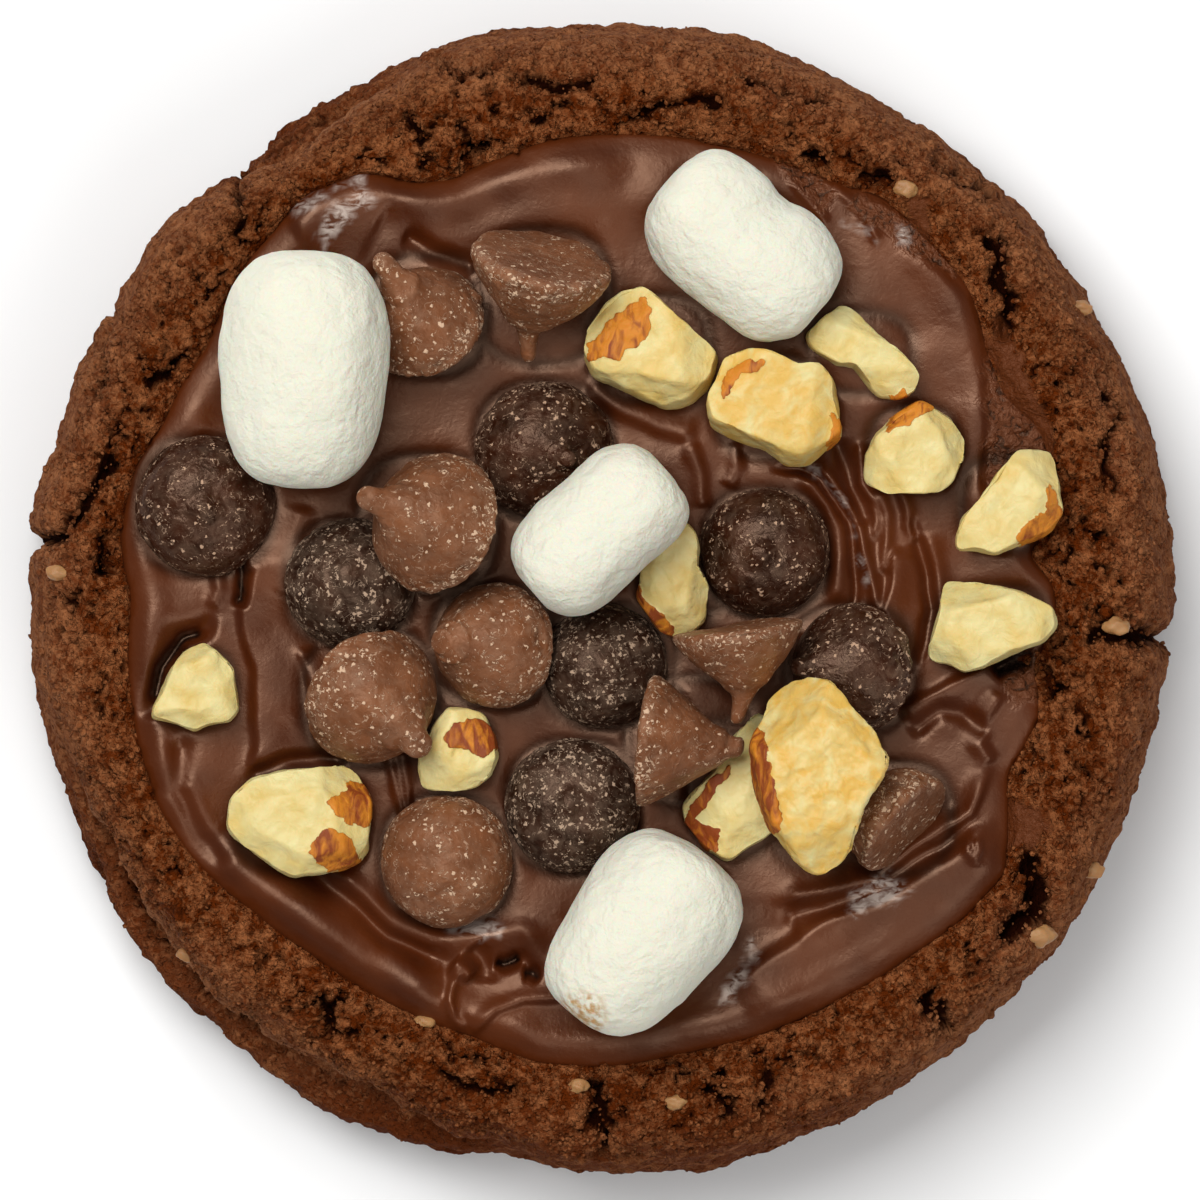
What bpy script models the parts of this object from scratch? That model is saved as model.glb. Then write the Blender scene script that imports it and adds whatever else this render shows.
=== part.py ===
"""Rocky road cookie: a thick round chocolate cookie spread with chocolate, under mini
marshmallows, milk and dark chocolate chips and chopped almonds.

The origin is the middle of the flat underside and +Z is up. Sizes are in millimetres and
angles in degrees until a mesh is made, in metres. Plan positions are +X right and +Y away.
"""

import math
from dataclasses import dataclass

import bpy
import numpy as np
from mathutils import Euler, Matrix, Vector, noise
from mathutils.bvhtree import BVHTree

# Driving dimensions
MM = 0.001
AIR = 0.3                # gap kept between neighbouring pieces
CROWN_HEIGHT = 20.0      # the dough's highest ring above the flat underside
RIM_HEIGHT = 18.5        # dough where the spread ends
FLOOR_HEIGHT = 17.0      # dough under the middle of the spread
SPREAD_HEIGHT = 19.7     # general level of the spread
SPREAD_EDGE = 0.4        # thickness of the spread where it ends
SINK = 1.1               # how far the toppings are pressed into the spread
AROUND = 120             # points round the cookie, six for each ring of the spread
SPREAD_RINGS = 20
CRAG_HEIGHT = 0.45       # relief of the crumbly dough
CRAG_SIZE = 3.4

# Edge of the cookie seen from above: direction and distance from the middle
COOKIE_EDGE = (
    (0, 47.8), (15, 48.0), (30, 47.6), (45, 47.8), (60, 47.5), (70, 48.0), (76, 48.4),
    (90, 47.8), (105, 48.2), (113, 47.3), (120, 47.5), (134, 47.0), (140, 48.2), (148, 47.2),
    (152, 47.7), (163, 47.1), (172, 48.0), (180, 47.3), (187, 47.6), (193, 47.1), (208, 47.3),
    (216, 48.0), (225, 48.0), (231, 47.7), (241, 48.2), (255, 47.6), (260, 46.7), (266, 47.5),
    (283, 48.0), (290, 47.7), (300, 47.8), (312, 47.4), (324, 47.8), (337, 47.3), (350, 47.2),
)

# How far the lower tier of dough stands out past the upper one
FOOT_STEP = (
    (0, 0.0), (108, 0.0), (113, 1.3), (118, 2.0), (124, 2.6), (128, 1.8), (135, 0.0),
    (190, 0.0), (196, 0.8), (205, 1.8), (217, 2.5), (227, 1.6), (240, 3.0), (247, 3.0),
    (254, 1.5), (264, 0.0),
)

# Edge of the spread, in the same way
SPREAD_OUTLINE = (
    (2, 37.2), (6, 35.4), (12, 38.6), (21, 38.8), (27, 37.2), (33, 37.8), (40, 39.8),
    (55, 40.4), (62, 39.2), (75, 38.7), (85, 38.5), (97, 38.0), (109, 36.6), (114, 37.5),
    (119, 40.3), (126, 41.3), (132, 40.6), (139, 40.0), (147, 38.5), (158, 38.8), (164, 39.8),
    (172, 39.8), (180, 38.6), (195, 39.7), (205, 40.2), (213, 39.7), (222, 38.4), (231, 37.6),
    (254, 37.4), (262, 38.4), (270, 38.4), (280, 37.9), (300, 38.3), (311, 38.9), (318, 39.7),
    (326, 40.2), (332, 38.0), (337, 36.4), (345, 37.4), (352, 35.8), (357, 37.8),
)

# Side of the dough below the tiers' step: inset from the cookie's edge, height
LOWER_SIDE = ((2.2, 0.0), (0.8, 1.1), (0.15, 3.2), (0.0, 6.0), (0.3, 8.6))

# Dough above the step: share of the way from its edge to the spread, height
UPPER_SIDE = (
    (0.02, 10.8), (0.05, 13.2), (0.09, 15.4), (0.15, 17.2), (0.24, 18.6), (0.36, 19.5),
    (0.55, CROWN_HEIGHT), (0.78, CROWN_HEIGHT), (0.91, 19.6), (1.0, RIM_HEIGHT),
)

# Dough under the spread: share of the spread's radius, height
SEAT = ((0.95, 17.3), (0.9, FLOOR_HEIGHT))


@dataclass(frozen=True)
class Line:
    """A crack or a ridge along points in plan, negative when it is cut in."""

    height: float
    width: float
    points: tuple


CRACKS = (
    Line(-1.3, 1.2, ((2.3, 39.0), (3.8, 40.9), (8.4, 41.4), (10.8, 41.9))),
    Line(-1.6, 1.1, ((-10.1, 37.6), (-10.1, 36.0))),
    Line(-1.4, 1.2, ((31.2, 29.8), (33.3, 30.0), (33.3, 26.3), (34.3, 25.0), (33.2, 23.5))),
    Line(-2.4, 1.3, ((22.0, 34.8), (23.8, 34.0))),
    Line(-1.5, 1.0, ((17.6, 36.5), (18.4, 35.6))),
    Line(-1.6, 1.2, ((-40.8, 11.7), (-42.0, 9.4), (-43.8, 7.0), (-45.3, 5.5), (-47.7, 4.6))),
    Line(-2.4, 1.6, ((-40.4, 5.2), (-40.6, 3.0))),
    Line(-1.4, 1.1, ((40.8, -2.9), (45.0, -3.2), (47.5, -3.3))),
    Line(-2.0, 1.3, ((35.5, -21.3), (37.0, -26.3), (33.8, -27.8))),
    Line(-1.5, 1.1, ((27.5, -33.2), (28.9, -35.8))),
    Line(-1.4, 1.1, ((-0.3, -39.4), (-0.3, -41.2), (0.0, -43.3), (0.4, -45.4))),
    Line(-1.5, 1.1, ((-23.1, -33.2), (-22.4, -36.2))),
    Line(-1.8, 1.2, ((36.3, -5.4), (37.4, -7.5))),
)

# Bits of nut baked into the dough: plan position, radius of the bump
NUT_BITS = (
    ((-45.0, 2.1), 1.2), ((25.4, 34.2), 1.3), ((40.0, 24.2), 1.2), ((42.8, -2.1), 1.4),
    ((36.5, -27.9), 1.8), ((40.8, -22.5), 1.3), ((-22.5, -30.0), 0.9), ((-14.6, -35.0), 1.1),
    ((-34.2, -29.6), 1.2), ((-1.7, -40.3), 1.1), ((6.3, -41.7), 1.2),
)
NUT_BIT_HEIGHT = 0.7

# Folds and swirls left in the spread by the knife
SWIRLS = (
    Line(0.7, 1.3, ((-15.0, 31.0), (-9.0, 33.6), (-3.3, 34.8), (3.0, 34.8))),
    Line(0.6, 1.3, ((-36.5, -2.0), (-36.2, -9.0), (-34.0, -16.0), (-29.0, -23.5))),
    Line(0.5, 1.2, ((-29.0, 3.0), (-28.6, -5.0), (-26.6, -12.0))),
    Line(0.8, 1.5, ((-30.0, -24.5), (-24.0, -28.5), (-17.5, -31.5), (-10.0, -33.0))),
    Line(0.6, 1.1, ((-17.0, -25.0), (-13.5, -28.0), (-11.5, -30.6))),
    Line(0.6, 1.1, ((-11.0, -33.5), (-7.5, -32.8), (-4.5, -31.0))),
    Line(0.7, 1.2, ((8.3, -24.2), (15.0, -23.2), (23.0, -20.6), (31.7, -15.8))),
    Line(0.6, 1.2, ((20.5, 8.0), (22.6, 4.0), (22.4, 0.0))),
    Line(0.5, 1.2, ((23.5, 13.0), (25.6, 7.0), (25.8, 1.5))),
    Line(0.6, 1.2, ((26.5, -7.0), (28.5, -11.0), (33.0, -13.5))),
    Line(0.5, 1.2, ((19.0, 24.5), (25.5, 22.0), (29.5, 17.0))),
)

# The spread's edge stands up as a rounded lip here: direction, height of the lip
LIP = ((0, 0.0), (120, 0.1), (180, 0.4), (205, 0.5), (260, 0.5), (300, 0.4), (330, 0.1))


@dataclass(frozen=True)
class Marshmallow:
    """A lying marshmallow: middle in plan, size, heading of its axis and rise of its far end."""

    middle: tuple
    width: float
    length: float
    heading: float
    rise: float = 0.0
    taper: float = 0.0
    waist: float = 0.0


@dataclass(frozen=True)
class Chip:
    """A drop-shaped chip: middle of its base, size, where the tip leans and how far over.

    A blunt chip is a low dome, from 0, with a full tip, to 1.
    """

    middle: tuple
    diameter: float
    height: float
    heading: float
    tilt: float
    blunt: float = 0.0


@dataclass(frozen=True)
class Almond:
    """A chopped piece of almond: thickness, which way its top leans and slopes, and outline.

    The outline runs clockwise seen from above.
    """

    thickness: float
    lean: tuple
    slope: tuple
    outline: tuple


MARSHMALLOWS = {
    "marshmallow_1": Marshmallow((-23.3, 19.1), 13.6, 19.5, 88, 3, 0.0, -0.03),
    "marshmallow_2": Marshmallow((12.3, 29.4), 11.8, 16.6, -41, 0, 0.0, 0.13),
    "marshmallow_3": Marshmallow((0.0, 5.8), 10.4, 15.0, 42, 0, 0.0, 0.05),
    "marshmallow_4": Marshmallow((2.9, -27.4), 12.4, 17.3, 51.6, 0, 0.10, -0.02),
}

MILK_CHIPS = {
    "milk_chip_1": Chip((-13.9, 22.9), 10.2, 7.8, 125, 36),
    "milk_chip_2": Chip((-5.0, 26.7), 11.6, 7.6, 257, 110),
    "milk_chip_3": Chip((-13.5, 6.2), 11.8, 7.8, 160, 32),
    "milk_chip_4": Chip((-18.8, -7.5), 11.6, 7.6, 315, 32),
    "milk_chip_5": Chip((-8.2, -4.6), 10.4, 7.4, 176, 28),
    "milk_chip_6": Chip((-11.9, -21.0), 11.0, 6.6, 270, 12),
    "milk_chip_7": Chip((12.4, -2.9), 10.8, 7.4, 262, 88),
    "milk_chip_8": Chip((5.3, -12.3), 10.8, 7.4, 352, 84),
    "milk_chip_9": Chip((25.5, -18.9), 9.4, 6.0, 138, 103),
}

DARK_CHIPS = {
    "dark_chip_1": Chip((-32.9, 7.8), 11.6, 4.8, 0, 4, 1.0),
    "dark_chip_2": Chip((-4.8, 12.5), 11.6, 6.2, -20, 10, 0.5),
    "dark_chip_3": Chip((-20.8, 1.3), 10.8, 5.6, 90, 6, 0.8),
    "dark_chip_4": Chip((13.8, 4.0), 10.8, 5.6, 200, 5, 0.9),
    "dark_chip_5": Chip((0.3, -5.4), 10.4, 5.8, 300, 6, 0.8),
    "dark_chip_6": Chip((21.7, -5.7), 10.8, 7.2, 178, 36),
    "dark_chip_7": Chip((-2.3, -17.2), 11.2, 5.6, 80, 5, 0.8),
}

ALMONDS = {
    "almond_1": Almond(7.0, (-0.4, 1.3), (0.01, 0.02), (
        (3.9, 25.5), (8.1, 21.7), (9.7, 20.4), (9.3, 18.0), (7.9, 16.4), (5.5, 15.9),
        (2.6, 17.1), (-0.3, 18.5), (-1.2, 20.0), (-1.0, 21.7), (0.6, 23.9), (1.9, 25.0))),
    "almond_2": Almond(7.0, (-0.3, 1.4), (0.0, 0.03), (
        (12.5, 20.3), (14.2, 20.1), (16.7, 19.0), (18.3, 19.2), (19.3, 18.0), (19.9, 13.6),
        (18.8, 12.4), (17.1, 11.2), (15.4, 11.5), (13.7, 12.5), (11.3, 13.4), (9.3, 14.4),
        (9.0, 16.3), (9.8, 18.0), (10.3, 19.5))),
    "almond_3": Almond(5.4, (0.4, 0.5), (0.0, 0.0), (
        (19.3, 23.4), (20.6, 22.5), (22.1, 21.0), (24.2, 19.3), (25.7, 17.7), (25.3, 16.4),
        (24.0, 15.9), (22.3, 16.1), (20.2, 18.4), (18.9, 18.6), (16.5, 20.1), (16.2, 21.2),
        (17.8, 22.5))),
    "almond_4": Almond(5.6, (0.3, -0.3), (0.01, -0.02), (
        (26.4, 16.5), (27.7, 15.9), (29.0, 15.1), (30.1, 13.4), (30.0, 11.9), (29.0, 9.9),
        (28.1, 9.1), (24.6, 9.0), (23.6, 8.9), (22.0, 10.0), (22.1, 12.3), (22.9, 14.0),
        (24.6, 15.4))),
    "almond_5": Almond(5.0, (-0.5, 0.2), (-0.01, 0.01), (
        (34.6, 12.4), (37.2, 12.3), (37.7, 11.2), (38.4, 7.6), (37.2, 6.0), (34.8, 4.7),
        (32.9, 3.8), (31.1, 4.3), (29.7, 4.1), (29.6, 5.0), (30.3, 6.9), (32.0, 8.9))),
    "almond_6": Almond(5.2, (-0.1, 0.3), (0.0, 0.01), (
        (28.8, 1.5), (32.0, 1.3), (35.7, 0.3), (37.6, -0.6), (37.9, -2.2), (37.0, -3.5),
        (34.2, -4.3), (32.0, -5.6), (30.5, -6.0), (29.0, -5.2), (27.7, -5.0), (27.3, -4.3),
        (28.3, -1.1))),
    "almond_7": Almond(5.0, (0.2, 0.3), (0.0, 0.0), (
        (7.0, 6.4), (8.0, 5.2), (8.1, 2.6), (8.9, 0.9), (8.5, -1.7), (7.2, -2.7),
        (6.3, -3.0), (4.9, -2.5), (3.9, -1.0), (3.1, 0.4), (3.6, 3.3), (5.2, 5.6))),
    "almond_8": Almond(5.4, (0.1, 0.2), (0.0, 0.0), (
        (-32.9, -3.7), (-31.8, -4.5), (-30.5, -5.8), (-30.0, -9.2), (-30.8, -10.1),
        (-32.1, -10.3), (-33.6, -10.8), (-35.1, -10.3), (-37.2, -9.8), (-36.8, -8.6),
        (-35.5, -5.8), (-34.4, -4.4))),
    "almond_9": Almond(6.6, (-0.3, 0.3), (-0.01, 0.02), (
        (-20.9, -13.8), (-20.1, -14.5), (-19.1, -16.6), (-19.2, -20.7), (-20.1, -21.9),
        (-23.1, -22.6), (-25.4, -23.0), (-27.1, -21.9), (-29.4, -20.5), (-30.8, -18.8),
        (-30.5, -16.8), (-28.8, -15.1), (-26.3, -14.3))),
    "almond_10": Almond(5.4, (-0.2, -0.4), (0.02, 0.02), (
        (-12.6, -8.9), (-10.9, -9.0), (-9.7, -9.5), (-8.8, -11.2), (-8.6, -12.9),
        (-9.3, -14.3), (-10.3, -15.3), (-12.2, -15.8), (-14.8, -15.4), (-14.9, -12.6),
        (-13.8, -10.5))),
    "almond_11": Almond(5.4, (0.5, 0.2), (0.0, 0.0), (
        (13.1, -9.4), (14.6, -11.7), (15.4, -15.8), (14.3, -19.2), (12.1, -20.7),
        (10.5, -21.7), (8.8, -20.8), (7.0, -18.5), (6.9, -17.1), (8.3, -15.4), (10.0, -13.3),
        (11.3, -11.1))),
    "almond_12": Almond(6.0, (0.7, 0.1), (0.0, 0.02), (
        (17.5, -6.5), (19.0, -6.8), (20.5, -8.9), (22.2, -10.6), (23.4, -13.0),
        (22.9, -14.7), (21.4, -17.0), (20.3, -20.4), (19.7, -21.8), (18.0, -22.7),
        (16.8, -22.1), (15.8, -20.6), (14.2, -18.9), (12.9, -14.7), (12.7, -11.6),
        (13.5, -9.9), (14.2, -8.2), (15.6, -7.0))),
}

# The order in which the toppings were dropped on, lowest first
DROP_ORDER = (
    "dark_chip_1", "dark_chip_3", "dark_chip_2", "dark_chip_5", "dark_chip_7", "dark_chip_4",
    "dark_chip_6", "almond_1", "almond_2", "almond_3", "almond_4", "almond_5", "almond_6",
    "almond_7", "almond_8", "almond_9", "almond_10", "almond_11", "milk_chip_1",
    "milk_chip_3", "milk_chip_4", "milk_chip_5", "milk_chip_6", "milk_chip_9", "milk_chip_8",
    "milk_chip_7", "milk_chip_2", "almond_12", "marshmallow_1", "marshmallow_2",
    "marshmallow_3", "marshmallow_4",
)

# Shape of a chip from its base to just under its tip: share of its radius, of its height
DROP_PROFILE = ((0.90, 0.0), (1.0, 0.13), (0.95, 0.34), (0.72, 0.56), (0.38, 0.76), (0.13, 0.93))
DOME_PROFILE = ((0.90, 0.0), (1.0, 0.17), (0.97, 0.45), (0.80, 0.72), (0.52, 0.91), (0.20, 0.99))
CHIP_AROUND = 16
CHIP_CURL = 0.2          # how far the tip bends over, as a share of the radius

# Shape of a chopped almond: share of its outline, share of its thickness
ALMOND_RINGS = ((0.78, 0.0), (1.0, 0.34), (0.98, 0.7), (0.80, 1.0))

MARSHMALLOW_AROUND = 18
MARSHMALLOW_RINGS = 9
MARSHMALLOW_CORNER = 0.55    # roundness of the ends, 1 for a ball and near 0 for a tin

# Steps of the height grid that the toppings are dropped on
GRID_HALF = 52.0
GRID_PITCH = 0.4
NUDGE_CELLS = 3
NUDGE_COST = 1.3         # lift accepted for each millimetre that a piece slides
PRESS_REACH = 2.4        # the spread gives way this far round a topping

COLOURS = {
    "dough": (0.120, 0.045, 0.023),
    "spread": (0.086, 0.025, 0.012),
    "marshmallow": (0.84, 0.85, 0.76),
    "milk_chocolate": (0.168, 0.075, 0.042),
    "dark_chocolate": (0.042, 0.017, 0.012),
    "almond": (0.80, 0.66, 0.33),
}
ROUGHNESS = {
    "dough": 0.85, "spread": 0.3, "marshmallow": 0.8,
    "milk_chocolate": 0.5, "dark_chocolate": 0.5, "almond": 0.6,
}


def clear_scene():
    """Remove every object that the new file starts with."""
    for item in list(bpy.data.objects):
        bpy.data.objects.remove(item, do_unlink=True)


def make_material(name):
    """Make the plain material of one kind of food."""
    material = bpy.data.materials.new(name)
    material.use_nodes = True
    shader = material.node_tree.nodes["Principled BSDF"]
    shader.inputs["Base Color"].default_value = (*COLOURS[name], 1.0)
    shader.inputs["Roughness"].default_value = ROUGHNESS[name]
    shader.inputs["Metallic"].default_value = 0.0
    return material


def make_object(name, vertices, faces, material, matrix=None):
    """Put a mesh given in millimetres into the scene, in its place."""
    mesh = bpy.data.meshes.new(name)
    mesh.from_pydata((np.asarray(vertices) * MM).tolist(), [], faces)
    mesh.materials.append(material)
    mesh.shade_smooth()
    mesh.set_sharp_from_angle(angle=math.radians(50))
    item = bpy.data.objects.new(name, mesh)
    if matrix is not None:
        item.location = matrix.translation * MM
        item.rotation_euler = matrix.to_euler()
    bpy.context.scene.collection.objects.link(item)
    return item


def around(pairs, degrees):
    """Read a closed list of direction and value pairs at any direction."""
    directions, values = zip(*pairs)
    return np.interp(np.asarray(degrees), directions, values, period=360)


def line_distance(x, y, points):
    """Distance in plan from each point to a line of straight stretches."""
    nearest = np.full(np.shape(x), np.inf)
    for (ax, ay), (bx, by) in zip(points[:-1], points[1:]):
        dx = bx - ax
        dy = by - ay
        along = ((x - ax) * dx + (y - ay) * dy) / (dx * dx + dy * dy)
        along = np.clip(along, 0.0, 1.0)
        nearest = np.minimum(nearest, np.hypot(x - ax - along * dx, y - ay - along * dy))
    return nearest


def lines_relief(x, y, lines):
    """Height of cracks or ridges: each falls off like a bell from its line."""
    height = np.zeros(np.shape(x))
    for line in lines:
        height += line.height * np.exp(-(line_distance(x, y, line.points) / line.width) ** 2)
    return height


def crags(x, y, z):
    """Uneven crumbly relief of the dough, from two sizes of smooth noise."""
    relief = []
    for px, py, pz in zip(x, y, z):
        place = Vector((px, py, pz)) / CRAG_SIZE
        relief.append(noise.noise(place) + 0.5 * noise.noise(place * 2.3))
    return CRAG_HEIGHT * np.array(relief)


def dough_relief(x, y, z):
    """How far the dough stands in or out: crags, cracks and bits of nut."""
    relief = crags(x, y, z) + lines_relief(x, y, CRACKS)
    for (nut_x, nut_y), radius in NUT_BITS:
        distance = np.hypot(x - nut_x, y - nut_y)
        relief += NUT_BIT_HEIGHT * np.exp(-(distance / radius) ** 2)
    return relief


def cookie_rings():
    """Rings of the dough from the flat underside round to the seat of the spread.

    Each ring is radius and height at every direction and the share of the relief it takes.
    """
    degrees = np.arange(AROUND) * 360.0 / AROUND
    edge = around(COOKIE_EDGE, degrees)
    upper = edge - around(FOOT_STEP, degrees)
    spread = around(SPREAD_OUTLINE, degrees)
    level = np.ones(AROUND)
    rings = [(edge - inset, level * height, min(1.0, height / 3.0)) for inset, height in LOWER_SIDE]
    for share, height in UPPER_SIDE:
        rings.append((upper + (spread - upper) * share, level * height, 1.0))
    rings[-1] = (rings[-1][0], rings[-1][1], 0.0)
    for share, height in SEAT:
        rings.append((spread * share, level * height, 0.0))
    return degrees, rings


def relieved_rings(degrees, rings):
    """Turn rings into points, pushed in or out along the slope of the dough."""
    cosine = np.cos(np.radians(degrees))
    sine = np.sin(np.radians(degrees))
    points = []
    for index, (radius, height, share) in enumerate(rings):
        before = rings[max(index - 1, 0)]
        after = rings[min(index + 1, len(rings) - 1)]
        run = np.mean(after[0] - before[0])
        rise = np.mean(after[1] - before[1])
        size = math.hypot(run, rise)
        relief = share * dough_relief(radius * cosine, radius * sine, height)
        out = radius + relief * rise / size
        up = height - relief * run / size
        points.append(np.column_stack((out * cosine, out * sine, up)))
    return points


def band_faces(count, lower, upper):
    """Triangles between two rings with the same number of points, given their first points."""
    faces = []
    for index in range(count):
        following = (index + 1) % count
        faces.append((lower + index, lower + following, upper + following))
        faces.append((lower + index, upper + following, upper + index))
    return faces


def cookie_shape():
    """The dough as one closed solid, with a flat underside."""
    degrees, rings = cookie_rings()
    points = relieved_rings(degrees, rings)
    faces = [tuple(reversed(range(AROUND)))]
    for index in range(len(points) - 1):
        faces += band_faces(AROUND, index * AROUND, (index + 1) * AROUND)
    last = (len(points) - 1) * AROUND
    faces.append(tuple(range(last, last + AROUND)))
    return np.vstack(points), faces


def hexed_disc_faces(rings):
    """Triangles of a disc whose ring number k has 6k points, with the middle as point 0."""
    faces = []
    start = [0] + [1 + 3 * k * (k - 1) for k in range(1, rings + 1)]
    for k in range(rings):
        for sector in range(6):
            for step in range(k + 1):
                outer = [start[k + 1] + (sector * (k + 1) + step + i) % (6 * (k + 1)) for i in (0, 1)]
                inner = 0 if k == 0 else start[k] + (sector * k + step) % (6 * k)
                faces.append((inner, outer[0], outer[1]))
                if step < k:
                    inner_next = start[k] + (sector * k + step + 1) % (6 * k)
                    faces.append((inner, outer[1], inner_next))
    return faces


def spread_plan():
    """Plan position of the points of the spread's top, and each one's distance to its edge."""
    x = [0.0]
    y = [0.0]
    inside = [float(around(SPREAD_OUTLINE, 0.0))]
    for k in range(1, SPREAD_RINGS + 1):
        degrees = np.arange(6 * k) * 60.0 / k
        edge = around(SPREAD_OUTLINE, degrees)
        radius = edge * k / SPREAD_RINGS
        x += list(radius * np.cos(np.radians(degrees)))
        y += list(radius * np.sin(np.radians(degrees)))
        inside += list(edge - radius)
    return np.array(x), np.array(y), np.array(inside)


def spread_level(x, y, inside):
    """Height of the spread's top: its level, knife swirls, and a rounded lip at the edge."""
    lip = around(LIP, np.degrees(np.arctan2(y, x)))
    level = SPREAD_HEIGHT + lines_relief(x, y, SWIRLS)
    level += lip * np.exp(-((inside - 2.0) / 1.6) ** 2)
    edge = RIM_HEIGHT + AIR + SPREAD_EDGE
    rounding = np.sqrt(1.0 - (1.0 - np.clip(inside / 1.9, 0.0, 1.0)) ** 2)
    return edge + (level - edge) * rounding


def spread_shape(pile):
    """The spread as one closed solid that lies on the dough and is pressed in by the toppings."""
    x, y, inside = spread_plan()
    top = np.minimum(spread_level(x, y, inside), pile.lowest_nearby(x, y) - AIR)
    degrees = np.arange(AROUND) * 360.0 / AROUND
    edge = around(SPREAD_OUTLINE, degrees)
    points = [np.column_stack((x, y, top))]
    for share, height in ((1.0, RIM_HEIGHT), *SEAT):
        radius = edge * share
        points.append(np.column_stack((radius * np.cos(np.radians(degrees)),
                                       radius * np.sin(np.radians(degrees)),
                                       np.full(AROUND, height + AIR))))
    faces = hexed_disc_faces(SPREAD_RINGS)
    rim = len(x) - AROUND
    under = len(x)
    faces += band_faces(AROUND, under, rim)
    faces += band_faces(AROUND, under + AROUND, under)
    faces += band_faces(AROUND, under + 2 * AROUND, under + AROUND)
    faces.append(tuple(reversed(range(under + 2 * AROUND, under + 3 * AROUND))))
    return np.vstack(points), faces


def turned_faces(around_count, rings, closed_start, closed_end):
    """Triangles of a turned shape, whose ends close in a flat face or in a last point."""
    faces = []
    for index in range(rings - 1):
        faces += band_faces(around_count, index * around_count, (index + 1) * around_count)
    last = (rings - 1) * around_count
    if closed_start:
        faces.append(tuple(reversed(range(around_count))))
    if closed_end:
        tip = rings * around_count
        for index in range(around_count):
            faces.append((last + index, last + (index + 1) % around_count, tip))
    return faces


def marshmallow_shape(item):
    """A marshmallow along its own X axis: a squarish oval turned about it.

    The radius and the distance along the axis are powers of the sine and the cosine of one
    angle. A waist or a taper then draws the radius in.
    """
    turn = np.arange(MARSHMALLOW_AROUND) * 2.0 * math.pi / MARSHMALLOW_AROUND
    sweep = np.linspace(0.0, math.pi, MARSHMALLOW_RINGS + 2)[1:-1]
    points = []
    for angle in sweep[::-1]:
        along = math.copysign(abs(math.cos(angle)) ** MARSHMALLOW_CORNER, math.cos(angle))
        radius = item.width / 2.0 * math.sin(angle) ** MARSHMALLOW_CORNER
        radius *= 1.0 + item.taper * along - item.waist * math.exp(-(along / 0.45) ** 2)
        points.append(np.column_stack((np.full(len(turn), along * item.length / 2.0),
                                       radius * np.cos(turn), radius * np.sin(turn))))
    ends = [(-item.length / 2.0, 0.0, 0.0), (item.length / 2.0, 0.0, 0.0)]
    vertices = np.vstack(points + [np.array(ends)])
    start, end = len(vertices) - 2, len(vertices) - 1
    faces = turned_faces(MARSHMALLOW_AROUND, MARSHMALLOW_RINGS, False, False)
    last = (MARSHMALLOW_RINGS - 1) * MARSHMALLOW_AROUND
    for index in range(MARSHMALLOW_AROUND):
        following = (index + 1) % MARSHMALLOW_AROUND
        faces.append((following, index, start))
        faces.append((last + index, last + following, end))
    return vertices, faces


def chip_shape(item):
    """A chip standing on its base, its profile turned about Z and its tip bent towards +X."""
    turn = np.arange(CHIP_AROUND) * 2.0 * math.pi / CHIP_AROUND
    radius = item.diameter / 2.0
    points = []
    profile = np.array(DROP_PROFILE) * (1.0 - item.blunt) + np.array(DOME_PROFILE) * item.blunt
    curl = CHIP_CURL * (1.0 - item.blunt) * radius
    for share, level in profile:
        bend = curl * level ** 3
        points.append(np.column_stack((share * radius * np.cos(turn) + bend,
                                       share * radius * np.sin(turn),
                                       np.full(CHIP_AROUND, level * item.height))))
    tip = np.array([[curl, 0.0, item.height]])
    vertices = np.vstack(points + [tip])
    return vertices, turned_faces(CHIP_AROUND, len(profile), True, True)


def outline_middle(outline):
    """Middle of an outline's extent in plan."""
    points = np.array(outline)
    return (points.min(axis=0) + points.max(axis=0)) / 2.0


def almond_shape(item):
    """A chopped almond about its middle: its outline drawn in below, above and at the top."""
    outline = (np.array(item.outline) - outline_middle(item.outline))[::-1]
    count = len(outline)
    points = []
    for share, level in ALMOND_RINGS:
        ring = outline * share + np.array(item.lean) * max(0.0, level - 0.34)
        rise = item.thickness * level * (1.0 + outline @ np.array(item.slope))
        points.append(np.column_stack((ring, rise)))
    middle = np.array([[*item.lean, item.thickness * 1.03]])
    vertices = np.vstack(points + [middle])
    return vertices, turned_faces(count, len(ALMOND_RINGS), True, True)


def topping_parts():
    """Every topping: its shape about its own origin, its place in plan and its material."""
    parts = {}
    for name, item in MARSHMALLOWS.items():
        turn = Euler((0.0, math.radians(-item.rise), math.radians(item.heading)))
        parts[name] = (*marshmallow_shape(item), item.middle, turn, "marshmallow")
    for kind, chips in (("milk_chocolate", MILK_CHIPS), ("dark_chocolate", DARK_CHIPS)):
        for name, item in chips.items():
            turn = Euler((0.0, math.radians(item.tilt), math.radians(item.heading)))
            parts[name] = (*chip_shape(item), item.middle, turn, kind)
    for name, item in ALMONDS.items():
        parts[name] = (*almond_shape(item), outline_middle(item.outline), Euler(), "almond")
    return parts


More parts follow.
